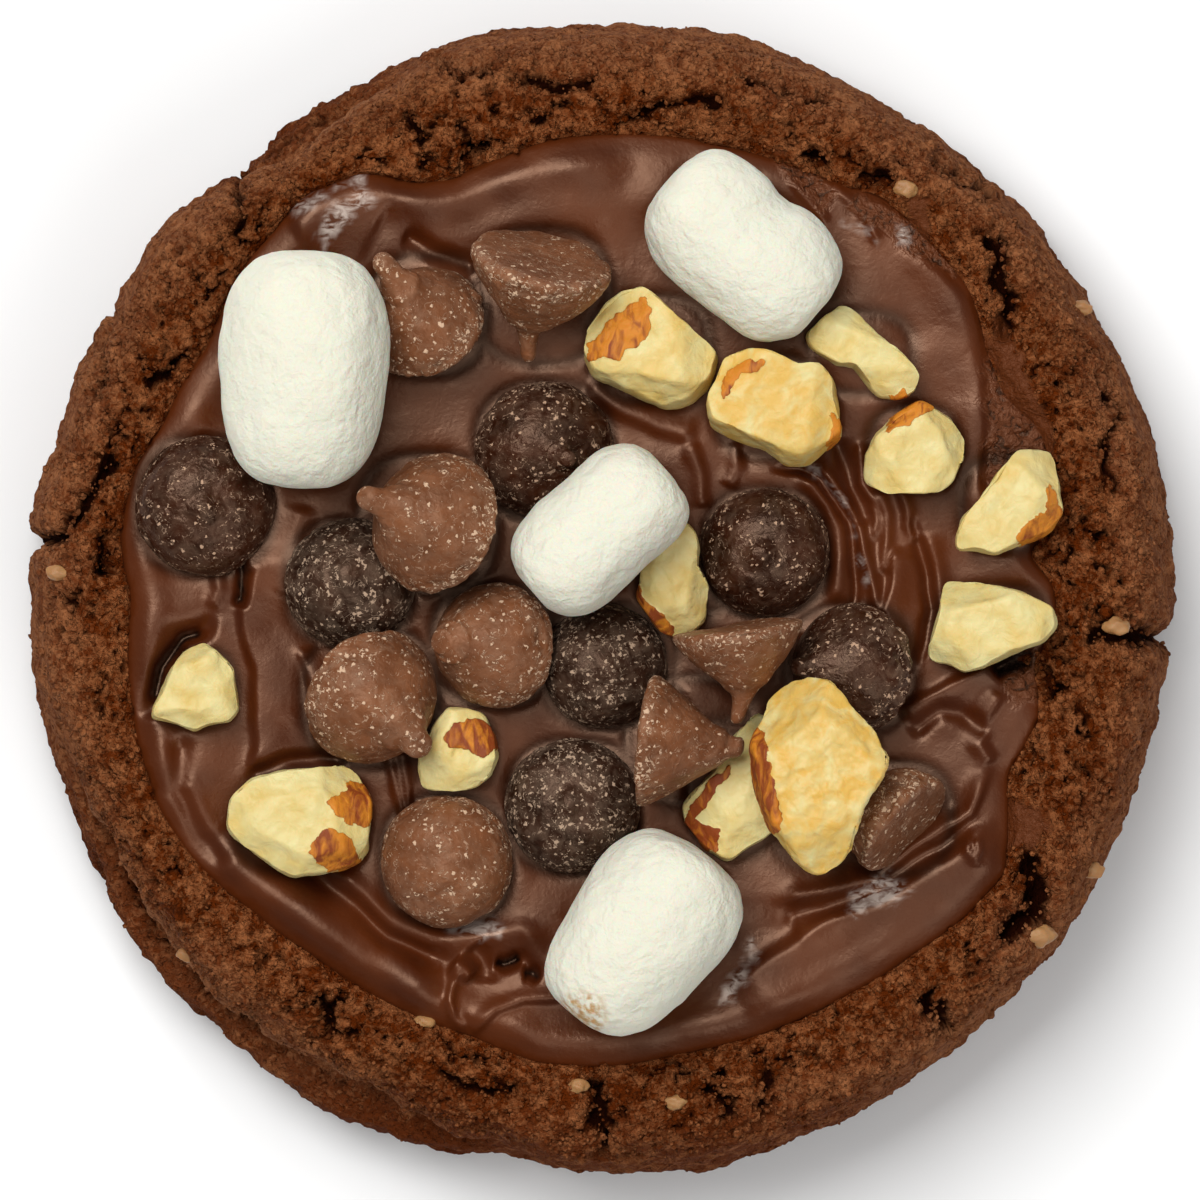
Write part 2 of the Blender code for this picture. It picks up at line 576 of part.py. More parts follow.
class Pile:
    """Heights of what has been laid down so far, on a square grid over the cookie."""

    def __init__(self, cookie):
        """Start from the dough, kept clear, and the spread that the toppings sink into."""
        self.axis = np.arange(-GRID_HALF, GRID_HALF + GRID_PITCH / 2.0, GRID_PITCH)
        count = len(self.axis)
        vertices, faces = cookie
        dough = self.scan(BVHTree.FromPolygons(vertices.tolist(), faces), 0, 0, count, count, 1)
        grid_x, grid_y = np.meshgrid(self.axis, self.axis, indexing="ij")
        edge = around(SPREAD_OUTLINE, np.degrees(np.arctan2(grid_y, grid_x)))
        on_spread = np.hypot(grid_x, grid_y) < edge + GRID_PITCH
        seat = np.maximum(dough + AIR + SPREAD_EDGE, SPREAD_HEIGHT - SINK - AIR)
        self.top = np.where(on_spread, seat, dough)
        self.under = np.full((count, count), np.inf)

    def scan(self, tree, start_x, start_y, count_x, count_y, side):
        """Heights of a shape seen from above (side 1) or from below (side -1)."""
        far = 100.0 * side
        heights = np.full((count_x, count_y), -np.inf * side)
        for i in range(count_x):
            for j in range(count_y):
                origin = Vector((self.axis[start_x + i], self.axis[start_y + j], far))
                hit = tree.ray_cast(origin, Vector((0.0, 0.0, -side)))[0]
                if hit is not None:
                    heights[i, j] = hit.z
        return heights

    def widened(self, heights):
        """Lowest height within one cell, so that neighbours also keep a gap sideways."""
        wide = np.pad(heights, 1, constant_values=np.inf)
        shifts = [wide[i:i + heights.shape[0], j:j + heights.shape[1]]
                  for i in range(3) for j in range(3)]
        return np.min(shifts, axis=0)

    def settle(self, vertices, faces):
        """Drop a shape, with a small slide where it then lies lower, and add it to the pile.

        Returns how far it moves along X, Y and Z.
        """
        margin = 2
        start = np.searchsorted(self.axis, vertices.min(axis=0)[:2]) - margin
        stop = np.searchsorted(self.axis, vertices.max(axis=0)[:2]) + margin
        tree = BVHTree.FromPolygons(vertices.tolist(), faces)
        counts = stop - start
        under = self.scan(tree, *start, *counts, -1)
        over = self.scan(tree, *start, *counts, 1)
        wide = self.widened(under)
        best = None
        for i in range(-NUDGE_CELLS, NUDGE_CELLS + 1):
            for j in range(-NUDGE_CELLS, NUDGE_CELLS + 1):
                window = (slice(start[0] + i, stop[0] + i), slice(start[1] + j, stop[1] + j))
                lift = np.max(self.top[window] - wide) + AIR
                cost = lift + NUDGE_COST * GRID_PITCH * math.hypot(i, j)
                if best is None or cost < best[0]:
                    best = (cost, lift, i, j, window)
        lift, i, j, window = best[1:]
        self.top[window] = np.maximum(self.top[window], over + lift)
        self.under[window] = np.minimum(self.under[window], under + lift)
        return Vector((i * GRID_PITCH, j * GRID_PITCH, lift))

    def lowest_nearby(self, x, y):
        """Lowest underside of a topping within reach of a point of the spread."""
        wide = self.under
        for _ in range(round(PRESS_REACH / GRID_PITCH)):
            wide = self.widened(wide)
        columns = np.rint((x + GRID_HALF) / GRID_PITCH).astype(int)
        rows = np.rint((y + GRID_HALF) / GRID_PITCH).astype(int)
        return wide[columns, rows]


def build():
    """Make the dough, drop the toppings in order, and press the spread in under them."""
    clear_scene()
    materials = {name: make_material(name) for name in COLOURS}
    cookie = cookie_shape()
    make_object("cookie", *cookie, materials["dough"])
    pile = Pile(cookie)
    parts = topping_parts()
    for name in DROP_ORDER:
        vertices, faces, middle, turn, kind = parts[name]
        matrix = Matrix.Translation((*middle, 0.0)) @ turn.to_matrix().to_4x4()
        placed = vertices @ np.array(matrix.to_3x3()).T + np.array(matrix.translation)
        matrix.translation += pile.settle(placed, faces)
        make_object(name, vertices, faces, materials[kind], matrix)
    make_object("spread", *spread_shape(pile), materials["spread"])


build()
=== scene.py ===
"""Looks of a rocky road cookie: baked dough, knife-swirled chocolate, marshmallows, chocolate
chips and chopped almonds, each worked out as a fine surface in its own solid's place.

Shapes are computed in millimetres, in the cookie's own frame: the middle of the flat underside
is the origin, +X is right, +Y is away from the viewer and +Z is up.
"""

import itertools
import logging
import math
from collections.abc import Sequence
from dataclasses import dataclass
from enum import Enum

import bpy
import numpy as np
from mathutils import Euler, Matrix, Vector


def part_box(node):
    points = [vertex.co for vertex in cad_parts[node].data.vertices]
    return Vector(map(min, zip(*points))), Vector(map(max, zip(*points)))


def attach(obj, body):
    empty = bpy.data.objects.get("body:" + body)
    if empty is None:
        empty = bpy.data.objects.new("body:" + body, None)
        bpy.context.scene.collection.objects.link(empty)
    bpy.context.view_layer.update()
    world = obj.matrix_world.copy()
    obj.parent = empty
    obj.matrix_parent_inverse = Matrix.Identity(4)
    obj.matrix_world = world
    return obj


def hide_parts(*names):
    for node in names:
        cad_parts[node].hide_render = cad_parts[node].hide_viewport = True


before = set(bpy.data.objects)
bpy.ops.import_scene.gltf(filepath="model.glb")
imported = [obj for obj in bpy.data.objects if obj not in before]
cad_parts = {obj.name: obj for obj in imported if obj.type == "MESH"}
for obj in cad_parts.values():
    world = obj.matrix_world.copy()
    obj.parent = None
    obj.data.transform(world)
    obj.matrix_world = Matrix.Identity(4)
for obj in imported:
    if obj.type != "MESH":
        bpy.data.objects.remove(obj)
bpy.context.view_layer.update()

LOG = logging.getLogger("rocky_road_cookie")
Array = np.ndarray
Socket = bpy.types.NodeSocket
Triple = tuple[float, float, float]
Colour = Triple
Point = tuple[float, float]
Outlines = tuple[tuple[Point, ...], ...]
Footprint = tuple[float, float, float, float, float]
MM = 0.001
BODY = "root"

# Level of the spread, and of the dough where the two meet
SPREAD_HEIGHT = 19.7
RIM_HEIGHT = 18.5

# Edge of the cookie seen from above: direction and distance from the middle
COOKIE_EDGE = (
    (0, 47.8), (15, 48), (30, 47.6), (45, 47.8), (60, 47.5), (70, 48), (76, 48.4), (90, 47.8),
    (105, 48.2), (113, 47.3), (120, 47.5), (134, 47), (140, 48.2), (148, 47.2), (152, 47.7), (163, 47.1),
    (172, 48), (180, 47.3), (187, 47.6), (193, 47.1), (208, 47.3), (216, 48), (225, 48), (231, 47.7),
    (241, 48.2), (255, 47.6), (260, 46.7), (266, 47.5), (283, 48), (290, 47.7), (300, 47.8), (312, 47.4),
    (324, 47.8), (337, 47.3), (350, 47.2),
)

# How far the lower tier of dough stands out past the upper one
FOOT_STEP = (
    (0, 0), (108, 0), (113, 1.3), (118, 2), (124, 2.6), (128, 1.8), (135, 0), (190, 0), (196, 0.8),
    (205, 1.8), (217, 2.5), (227, 1.6), (240, 3), (247, 3), (254, 1.5), (264, 0),
)

# Edge of the spread, in the same way
SPREAD_OUTLINE = (
    (2, 37.2), (6, 35.4), (12, 38.6), (21, 38.8), (27, 37.2), (33, 37.8), (40, 39.8), (55, 40.4),
    (62, 39.2), (75, 38.7), (85, 38.5), (97, 38), (109, 36.6), (114, 37.5), (119, 40.3), (126, 41.3),
    (132, 40.6), (139, 40), (147, 38.5), (158, 38.8), (164, 39.8), (172, 39.8), (180, 38.6), (195, 39.7),
    (205, 40.2), (213, 39.7), (222, 38.4), (231, 37.6), (254, 37.4), (262, 38.4), (270, 38.4),
    (280, 37.9), (300, 38.3), (311, 38.9), (318, 39.7), (326, 40.2), (332, 38), (337, 36.4), (345, 37.4),
    (352, 35.8), (357, 37.8),
)


class Numbers:
    """Smooth and cellular noise in space, from one seeded table.

    Places shifted by any distance read another part of the same noise.
    """

    def __init__(self, seed: int) -> None:
        """Draw the table: an order of cells, a slope and a place for each.

        Args:
            seed: number that fixes the table.
        """
        draw = np.random.default_rng(seed)
        self.order = draw.permutation(256)
        slopes = draw.normal(size=(256, 3))
        self.slopes = slopes / np.linalg.norm(slopes, axis=1, keepdims=True)
        self.places = draw.random((256, 3))

    def pick(self, cell: Array) -> Array:
        """Return the table row of each cell.

        Args:
            cell: whole numbers of each cell, with X, Y and Z last.

        Returns:
            A row of the table for each cell.
        """
        row = self.order[cell[..., 0] & 255]
        row = self.order[(row + cell[..., 1]) & 255]
        return self.order[(row + cell[..., 2]) & 255]

    def smooth(self, points: Array, size: float) -> Array:
        """Gradient noise: slopes at the corners of a lattice, blended by a quintic fade.

        Args:
            points: places, in millimetres, with X, Y and Z last.
            size: spacing of the lattice.

        Returns:
            One value for each place, mostly between -1 and 1.
        """
        scaled = points / size
        cell = np.floor(scaled).astype(int)
        part = scaled - cell
        fade = part ** 3 * (part * (part * 6.0 - 15.0) + 10.0)
        total = np.zeros(points.shape[:-1])
        for corner in itertools.product((0, 1), repeat=3):
            slope = self.slopes[self.pick(cell + np.array(corner))]
            height = ((part - np.array(corner)) * slope).sum(axis=-1)
            weight = np.where(corner, fade, 1.0 - fade).prod(axis=-1)
            total += weight * height
        return 1.6 * total

    def layers(self, points: Array, size: float, count: int) -> Array:
        """Sum smooth noise of halving size and weight.

        Args:
            points: places, in millimetres.
            size: spacing of the first lattice.
            count: how many layers.

        Returns:
            One value for each place.
        """
        total = np.zeros(points.shape[:-1])
        for level in range(count):
            total += self.smooth(points + 17.3 * level, size / 2.0 ** level) / 2.0 ** level
        return total

    def cells(self, points: Array, size: float) -> tuple[Array, Array, Array]:
        """Cellular noise: how far each place is from the scattered middles of the cells.

        Args:
            points: places, in millimetres.
            size: mean spacing of the middles.

        Returns:
            Distance to the nearest middle and to the next, as shares of the size, and a tone
            from 0 to 1 that each cell keeps.
        """
        scaled = points / size
        cell = np.floor(scaled).astype(int)
        nearest = np.full(points.shape[:-1], 9.0)
        following = np.full(points.shape[:-1], 9.0)
        tone = np.zeros(points.shape[:-1])
        for step in itertools.product((-1, 0, 1), repeat=3):
            other = cell + np.array(step)
            row = self.pick(other)
            away = np.linalg.norm(other + self.places[row] - scaled, axis=-1)
            closer = away < nearest
            following = np.where(closer, nearest, np.minimum(following, away))
            tone = np.where(closer, row / 255.0, tone)
            nearest = np.minimum(nearest, away)
        return nearest, following, tone


def around(pairs: tuple[Point, ...], degrees: Array, blur: int = 0) -> Array:
    """Read a closed list of direction and value pairs at evenly spaced directions.

    Args:
        pairs: direction and value.
        degrees: directions to read.
        blur: width, in steps, of the moving mean that rounds the corners.

    Returns:
        A value for each direction.
    """
    places, values = zip(*pairs)
    read = np.interp(degrees, places, values, period=360)
    if blur:
        steps = np.arange(-blur, blur + 1)
        weights = 1.0 - np.abs(steps) / (blur + 1.0)
        shifted = np.stack([np.roll(read, step) for step in steps])
        read = (shifted * weights[:, None]).sum(axis=0) / weights.sum()
    return read


def directions(columns: int) -> Array:
    """Evenly spaced directions all the way round, in degrees."""
    return np.arange(columns) * 360.0 / columns


def turns(columns: int) -> Array:
    """Evenly spaced directions all the way round, in radians."""
    return np.arange(columns) * 2.0 * math.pi / columns


def flat_places(x: Array, y: Array) -> Array:
    """Places on the level plane, with X, Y and Z last."""
    return np.stack((x, y, np.zeros_like(x)), axis=-1)


def ease(values: Array, low: float, high: float) -> Array:
    """Rise smoothly from 0 at low to 1 at high."""
    share = np.clip((values - low) / (high - low), 0.0, 1.0)
    return share * share * (3.0 - 2.0 * share)


def lower_of(first: Array, second: Array, blend: float) -> Array:
    """The lower of two heights, rounded over where they come within a blend of each other."""
    share = np.clip(0.5 + 0.5 * (second - first) / blend, 0.0, 1.0)
    return second * (1.0 - share) + first * share - 0.5 * blend * share * (1.0 - share)


def line_measure(x: Array, y: Array, points: tuple[Point, ...]) -> tuple[Array, Array]:
    """Measure places against a line: how far to its left they are and how far along.

    Each place takes the stretch of the line nearest to it. The distance is signed by the
    side of that stretch.

    Args:
        x: places across.
        y: places up.
        points: corners of the line.

    Returns:
        Signed distance, and the share of the line's length from 0 to 1.
    """
    corners = np.array(points)
    spans = np.diff(corners, axis=0)
    lengths = np.hypot(*spans.T)
    starts = np.concatenate(([0.0], np.cumsum(lengths)))
    side = np.full(np.shape(x), 1e6)
    share = np.zeros(np.shape(x))
    for corner, span, length, start in zip(corners, spans, lengths, starts):
        right = x - corner[0]
        up = y - corner[1]
        along = np.clip((right * span[0] + up * span[1]) / length ** 2, 0.0, 1.0)
        away = np.hypot(right - along * span[0], up - along * span[1])
        signed = np.where(span[0] * up - span[1] * right >= 0.0, away, -away)
        closer = away < np.abs(side)
        side = np.where(closer, signed, side)
        share = np.where(closer, (start + along * length) / starts[-1], share)
    return side, share


def patch_depth(x: Array, y: Array, outline: tuple[Point, ...]) -> Array:
    """Distance of each place inside a closed outline, negative outside it.

    The sign counts how often a level line from the place crosses the outline.

    Args:
        x: places across.
        y: places up.
        outline: its corners.

    Returns:
        The distance, in millimetres.
    """
    closed = (*outline, outline[0])
    away = np.abs(line_measure(x, y, closed)[0])
    inside = np.zeros(np.shape(x), dtype=bool)
    for (ax, ay), (bx, by) in zip(closed[:-1], closed[1:]):
        spans = (ay > y) != (by > y)
        rise = by - ay if by != ay else 1e-9
        inside ^= spans & (x < ax + (y - ay) * (bx - ax) / rise)
    return np.where(inside, away, -away)


def share_inside(x: Array, y: Array, outlines: Outlines, ragged: Array, low: float,
                 high: float) -> Array:
    """Share of each place that lies in any of some closed outlines.

    Args:
        x: places across.
        y: places up.
        outlines: corners of each outline.
        ragged: how far each place's edge is moved.
        low: depth inside an outline where the share starts to rise.
        high: depth where it is whole.

    Returns:
        The share, from 0 to 1.
    """
    share = np.zeros(np.shape(x))
    for outline in outlines:
        share = np.maximum(share, ease(patch_depth(x, y, outline) + ragged, low, high))
    return share


def curve_rows(control: Array, places: Array) -> Array:
    """Carry a smooth curve through rows of control points, for every column at once.

    The curve is a Catmull-Rom spline: between two rows it is a cubic whose slope at each is
    half the step between that row's neighbours.

    Args:
        control: control points, with rows first.
        places: row numbers to read, whole or not.

    Returns:
        The curve's points, a row for each place.
    """
    last = len(control) - 1
    row = np.clip(np.floor(places).astype(int), 0, last - 1)
    t = (places - row).reshape((-1,) + (1,) * (control.ndim - 1))
    before = control[np.maximum(row - 1, 0)]
    here = control[row]
    there = control[row + 1]
    after = control[np.minimum(row + 2, last)]
    bend = 2.0 * before - 5.0 * here + 4.0 * there - after
    twist = 3.0 * here - before - 3.0 * there + after
    return here + 0.5 * t * ((there - before) + t * (bend + t * twist))


def even_places(lengths: Array, counts: Array) -> Array:
    """Row numbers that share out each stretch between control rows into a count of steps."""
    places = [index + np.arange(count) / count for index, count in enumerate(counts)]
    return np.concatenate(places + [np.array([float(len(lengths))])])


def grid_normals(points: Array) -> Array:
    """Outward normals of a grid whose columns run round: cross product of its two steps.

    Args:
        points: the grid, with rings first and directions second.

    Returns:
        A unit vector for each point.
    """
    along = np.gradient(points, axis=0)
    turning = np.roll(points, -1, axis=1) - np.roll(points, 1, axis=1)
    normal = np.cross(turning, along)
    return normal / np.maximum(np.linalg.norm(normal, axis=-1, keepdims=True), 1e-12)


def pushed_out(points: Array, relief: Array) -> Array:
    """Move a grid's points along its outward normals by a relief."""
    return points + grid_normals(points) * relief[..., None]


def with_poles(points: Array) -> Array:
    """Flatten rings of points and add a pole at both ends: the mean of the ring beside it."""
    ends = np.array([points[0].mean(axis=0), points[-1].mean(axis=0)])
    return np.vstack((points.reshape(-1, 3), ends))


def wrapped_faces(rows: int, columns: int) -> tuple[Array, Array]:
    """Faces of a closed surface of rings between two poles, which are its last two points.

    Args:
        rows: how many rings.
        columns: how many points in each.

    Returns:
        The four-sided faces between rings, and the triangles at both poles.
    """
    ring = np.arange(columns)
    following = np.roll(ring, -1)
    starts = np.arange(rows - 1)[:, None] * columns
    quads = np.stack((starts + ring, starts + following,
                      starts + columns + following, starts + columns + ring), axis=-1)
    first = rows * columns
    top = (rows - 1) * columns
    start_fan = np.column_stack((following, ring, np.full(columns, first)))
    end_fan = np.column_stack((top + ring, top + following, np.full(columns, first + 1)))
    return quads.reshape(-1, 4), np.vstack((start_fan, end_fan))


def make_piece(name: str, points: Array, faces: Sequence[Array], material: bpy.types.Material,
               marks: dict[str, Array]) -> bpy.types.Object:
    """Put a surface given in millimetres into the scene as a smooth mesh.

    Args:
        name: name of the piece.
        points: its corners.
        faces: arrays of faces, each with as many columns as its faces have corners.
        material: its finish.
        marks: values that the finish reads, one for each corner.

    Returns:
        The piece's object, at the origin.
    """
    mesh = bpy.data.meshes.new(name)
    listed = [face for block in faces for face in block.tolist()]
    mesh.from_pydata((points * MM).tolist(), [], listed)
    for mark, values in marks.items():
        layer = mesh.attributes.new(mark, "FLOAT", "POINT")
        layer.data.foreach_set("value", np.ascontiguousarray(values, dtype=np.float32))
    mesh.materials.append(material)
    mesh.shade_smooth()
    mesh.update()
    piece = bpy.data.objects.new(name, mesh)
    bpy.context.scene.collection.objects.link(piece)
    return piece


def hand_over(piece: bpy.types.Object, node: str | None = None) -> None:
    """Make a piece ride on the cookie, and report it.

    Args:
        piece: the finished piece.
        node: the solid that it stands for, if it stands for one.
    """
    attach(piece, BODY)
    if node is not None:
        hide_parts(node)
    LOG.info("%s: %d faces", piece.name, len(piece.data.polygons))


def node_middle(node: str) -> Array:
    """Middle of a solid's box, in millimetres."""
    low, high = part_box(node)
    return (np.array(low) + np.array(high)) / 2.0 / MM


def footprint_of(node: str, long: float, wide: float, heading: float) -> Footprint:
    """Oval patch about a node's middle: its place, half length, half width and heading."""
    middle = node_middle(node)
    return (float(middle[0]), float(middle[1]), long, wide, heading)


def step_to(points: Array, node: str) -> Array:
    """Step that brings the middle of the points' box to the middle of a solid's box."""
    flat = points.reshape(-1, 3)
    return node_middle(node) - (flat.min(axis=0) + flat.max(axis=0)) / 2.0


class Graph:
    """One material's nodes, with sizes in millimetres on the piece's own coordinates."""

    def __init__(self, name: str) -> None:
        """Start a material with a shader and the object's coordinates.

        Args:
            name: the material's name.
        """
        self.material = bpy.data.materials.new(name)
        self.material.use_nodes = True
        self.nodes = self.material.node_tree.nodes
        self.links = self.material.node_tree.links
        self.shader = self.nodes["Principled BSDF"]
        self.place = self.nodes.new("ShaderNodeTexCoord").outputs["Object"]
        self.relief: Socket | None = None

    def feed(self, socket: Socket, value: object) -> None:
        """Link a socket to another one, or set its value.

        Args:
            socket: the input.
            value: another socket, a number or a colour.
        """
        if isinstance(value, Socket):
            self.links.new(value, socket)
        elif isinstance(value, tuple) and len(value) == 3 and socket.type == "RGBA":
            socket.default_value = (*value, 1.0)
        else:
            socket.default_value = value

    def math(self, operation: str, first: object, second: object = 0.0) -> Socket:
        """Combine two values.

        Args:
            operation: what to do with them.
            first: a value or a socket.
            second: a value or a socket.

        Returns:
            The result's socket.
        """
        node = self.nodes.new("ShaderNodeMath")
        node.operation = operation
        self.feed(node.inputs[0], first)
        self.feed(node.inputs[1], second)
        return node.outputs[0]

    def node(self, kind: str, **inputs: object) -> bpy.types.Node:
        """Add a node and feed its inputs, named with _ for a space.

        Args:
            kind: type of the node, without its family's prefix.
            inputs: values or sockets for its inputs.

        Returns:
            The node.
        """
        node = self.nodes.new(f"ShaderNode{kind}")
        for name, value in inputs.items():
            self.feed(node.inputs[name.replace("_", " ")], value)
        return node

    def times(self, first: object, second: object) -> Socket:
        """Multiply two values."""
        return self.math("MULTIPLY", first, second)

    def plus(self, first: object, second: object) -> Socket:
        """Add two values."""
        return self.math("ADD", first, second)

    def noise(self, size: float, detail: float = 2.0, wander: float = 0.0,
              place: Socket | None = None) -> Socket:
        """Cloudy pattern whose features are about a size in millimetres."""
        return self.node("TexNoise", Vector=place or self.place, Scale=1.0 / (size * MM),
                         Detail=detail, Distortion=wander).outputs["Fac"]

    def spots(self, size: float, place: Socket) -> tuple[Socket, Socket]:
        """Scattered points a size apart: the distance to them, and a colour for each."""
        node = self.node("TexVoronoi", Vector=place, Scale=1.0 / (size * MM))
        return node.outputs["Distance"], node.outputs["Color"]

    def stretched(self, scale: Triple, turn: float) -> Socket:
        """Coordinates turned about Z by degrees and scaled along the axes."""
        return self.node("Mapping", Vector=self.place, Rotation=(0.0, 0.0, math.radians(turn)),
                         Scale=scale).outputs["Vector"]

    def wandering(self, size: float, reach: float) -> Socket:
        """Coordinates pushed about by a colour noise, by a reach in millimetres.

        Args:
            size: size of the noise.
            reach: how far it pushes.

        Returns:
            The coordinates' socket.
        """
        cloud = self.node("TexNoise", Vector=self.place, Scale=1.0 / (size * MM))
        push = self.nodes.new("ShaderNodeVectorMath")
        push.operation = "MULTIPLY_ADD"
        for socket, value in zip(push.inputs, (cloud.outputs["Color"], (reach * MM,) * 3,
                                               self.place)):
            self.feed(socket, value)
        return push.outputs[0]

    def mark(self, name: str) -> Socket:
        """Value that the mesh carries under a name.

        Args:
            name: name of the mark.

        Returns:
            The value's socket.
        """
        node = self.nodes.new("ShaderNodeAttribute")
        node.attribute_name = name
        return node.outputs["Fac"]

    def span(self, value: object, low: float, high: float, start: float = 0.0,
             stop: float = 1.0) -> Socket:
        """Stretch a value's range onto another, held at its ends."""
        return self.node("MapRange", Value=value, From_Min=low, From_Max=high, To_Min=start,
                         To_Max=stop).outputs["Result"]

    def blend(self, share: object, first: object, second: object) -> Socket:
        """Colour between two colours.

        Args:
            share: share of the second colour.
            first: a colour or its socket.
            second: a colour or its socket.

        Returns:
            The mixed colour's socket.
        """
        node = self.nodes.new("ShaderNodeMix")
        node.data_type = "RGBA"
        self.feed(node.inputs[0], share)
        self.feed(node.inputs[6], first)
        self.feed(node.inputs[7], second)
        return node.outputs[2]

    def raise_by(self, height: Socket, depth: float) -> None:
        """Add a fine relief whose full range is a depth in millimetres.

        Args:
            height: the relief, from 0 to 1.
            depth: its full range.
        """
        node = self.node("Bump", Strength=1.0, Distance=depth * MM, Height=height)
        if self.relief is not None:
            self.feed(node.inputs["Normal"], self.relief)
        self.relief = node.outputs["Normal"]

    def finish(self, colour: object, roughness: object, **settings: object) -> bpy.types.Material:
        """Connect the shader.

        Args:
            colour: base colour.
            roughness: roughness.
            settings: other sockets of the shader by name, with _ for a space.

        Returns:
            The material.
        """
        self.feed(self.shader.inputs["Base Color"], colour)
        self.feed(self.shader.inputs["Roughness"], roughness)
        for name, value in settings.items():
            self.feed(self.shader.inputs[name.replace("_", " ")], value)
        if self.relief is not None:
            self.feed(self.shader.inputs["Normal"], self.relief)
        return self.material


@dataclass(frozen=True)
class DoughFinish:
    """Dry baked chocolate crumb: dark specks and painted shade in hollows, paler on its grains and rim.
    """

    name: str = "dough_crumb"
    # Near-black colour for dark specks and for the shade painted in hollows
    pore_and_hollow_shade: Colour = (0.012, 0.0018, 0.0003)
    crumb: Colour = (0.112, 0.0200, 0.0024)
    pale: Colour = (0.330, 0.1150, 0.0400)
    crust: Colour = (0.285, 0.1240, 0.0580)
    chocolate: Colour = (0.100, 0.0240, 0.0060)

    def material(self) -> bpy.types.Material:
        """Mix the tones by grain, patch and height, paint shade in hollows, and smear chocolate where
        marked.

        Returns:
            The material.
        """
        graph = Graph(self.name)
        # The grain noise both raises the bump and pales the colour: partly painted light and shade
        grain = graph.noise(0.55, 4.0, 1.2)
        patch = graph.noise(5.0, 3.0)
        tone = graph.plus(graph.span(grain, 0.38, 0.64, 0.10, 0.72),
                          graph.span(patch, 0.3, 0.7, -0.12, 0.12))
        clump = graph.noise(1.9, 3.0, 0.9)
        tone = graph.plus(tone, graph.span(clump, 0.38, 0.60, -0.36, 0.22))
        tone = graph.plus(tone, graph.mark("tone"))
        colour = graph.blend(graph.span(tone, 0.0, 1.0), self.crumb, self.pale)
        baked = graph.times(graph.mark("baked"), graph.span(grain, 0.36, 0.60, 0.3, 1.0))
        colour = graph.blend(baked, colour, self.crust)
        # Dark specks, and painted shade where the mesh marks low hollows, both towards the near-black
        # colour
        speck = graph.span(graph.noise(0.75, 3.0, 2.0), 0.42, 0.34)
        painted_hollow_shade = graph.plus(graph.mark("painted_hollow_shade"), graph.times(speck, 0.6))
        colour = graph.blend(graph.span(painted_hollow_shade, 0.0, 1.0), colour, self.pore_and_hollow_shade)
        smear = graph.mark("smear")
        colour = graph.blend(smear, colour, self.chocolate)
        rough = graph.span(smear, 0.0, 1.0, 1.0, 0.45)
        rough = graph.times(rough, graph.span(graph.mark("baked"), 0.0, 0.6, 1.0, 0.6))
        graph.raise_by(graph.times(grain, rough), 0.75)
        graph.raise_by(graph.times(graph.noise(0.25, 3.0, 0.6), rough), 0.22)
        return graph.finish(colour, graph.span(smear, 0.0, 1.0, 0.92, 0.40),
                            Specular_IOR_Level=graph.span(smear, 0.0, 1.0, 0.05, 0.30),
                            Specular_Tint=(1.0, 0.60, 0.40))


@dataclass(frozen=True)
class SpreadFinish:
    """Set chocolate spread: glossy, with a fine grain that breaks up its highlights."""

    name: str = "knifed_chocolate"
    deep: Colour = (0.050, 0.0085, 0.0014)
    warm: Colour = (0.084, 0.0170, 0.0032)
    coat: Colour = (0.105, 0.0270, 0.0080)
    sheen: Colour = (1.0, 0.62, 0.42)
    # Near-black painted shade for holes, contact shadows round toppings and hollows of the thin coat
    pit: Colour = (0.004, 0.0008, 0.0003)
    # Pale colour of the painted highlights
    scuff: Colour = (0.56, 0.47, 0.41)

    def material(self) -> bpy.types.Material:
        """Vary brown and gloss by patches, warm it where thin, paint highlights and shade where marked.

        Returns:
            The material.
        """
        graph = Graph(self.name)
        colour = graph.blend(graph.span(graph.noise(7.0, 2.0), 0.35, 0.65), self.deep, self.warm)
        colour = graph.blend(graph.mark("thin"), colour, self.warm)
        coat = graph.mark("coat")
        crumbs = graph.noise(0.7, 4.0, 1.2)
        colour = graph.blend(coat, colour, self.coat)
        # Painted shade in the low parts of the coat's crumbly bump, which the same noise raises below
        colour = graph.blend(graph.times(coat, graph.span(crumbs, 0.47, 0.36, 0.0, 0.8)),
                             colour, self.pit)
        # Painted highlight: pale streaks blended in where the spread is marked
        streaks = graph.noise(0.9, 4.0, 0.8, graph.stretched((0.75, 1.6, 1.0), -35.0))
        worn = graph.times(graph.mark("painted_highlight"), graph.span(streaks, 0.38, 0.60, 0.0, 0.85))
        colour = graph.blend(worn, colour, self.scuff)
        # Painted shade: near-black in the holes and as a contact shadow round each topping
        colour = graph.blend(graph.mark("deep"), colour, self.pit)
        gloss = graph.span(graph.noise(3.2, 3.0, 0.6), 0.35, 0.65, 0.30, 0.44)
        gloss = graph.plus(gloss, graph.times(coat, 0.12))
        graph.raise_by(graph.noise(2.2, 2.0, 0.5), 0.07)
        graph.raise_by(graph.noise(0.35, 3.0, 0.5), 0.022)
        graph.raise_by(graph.times(crumbs, coat), 0.55)
        return graph.finish(colour, gloss, Specular_IOR_Level=0.62, Specular_Tint=self.sheen)


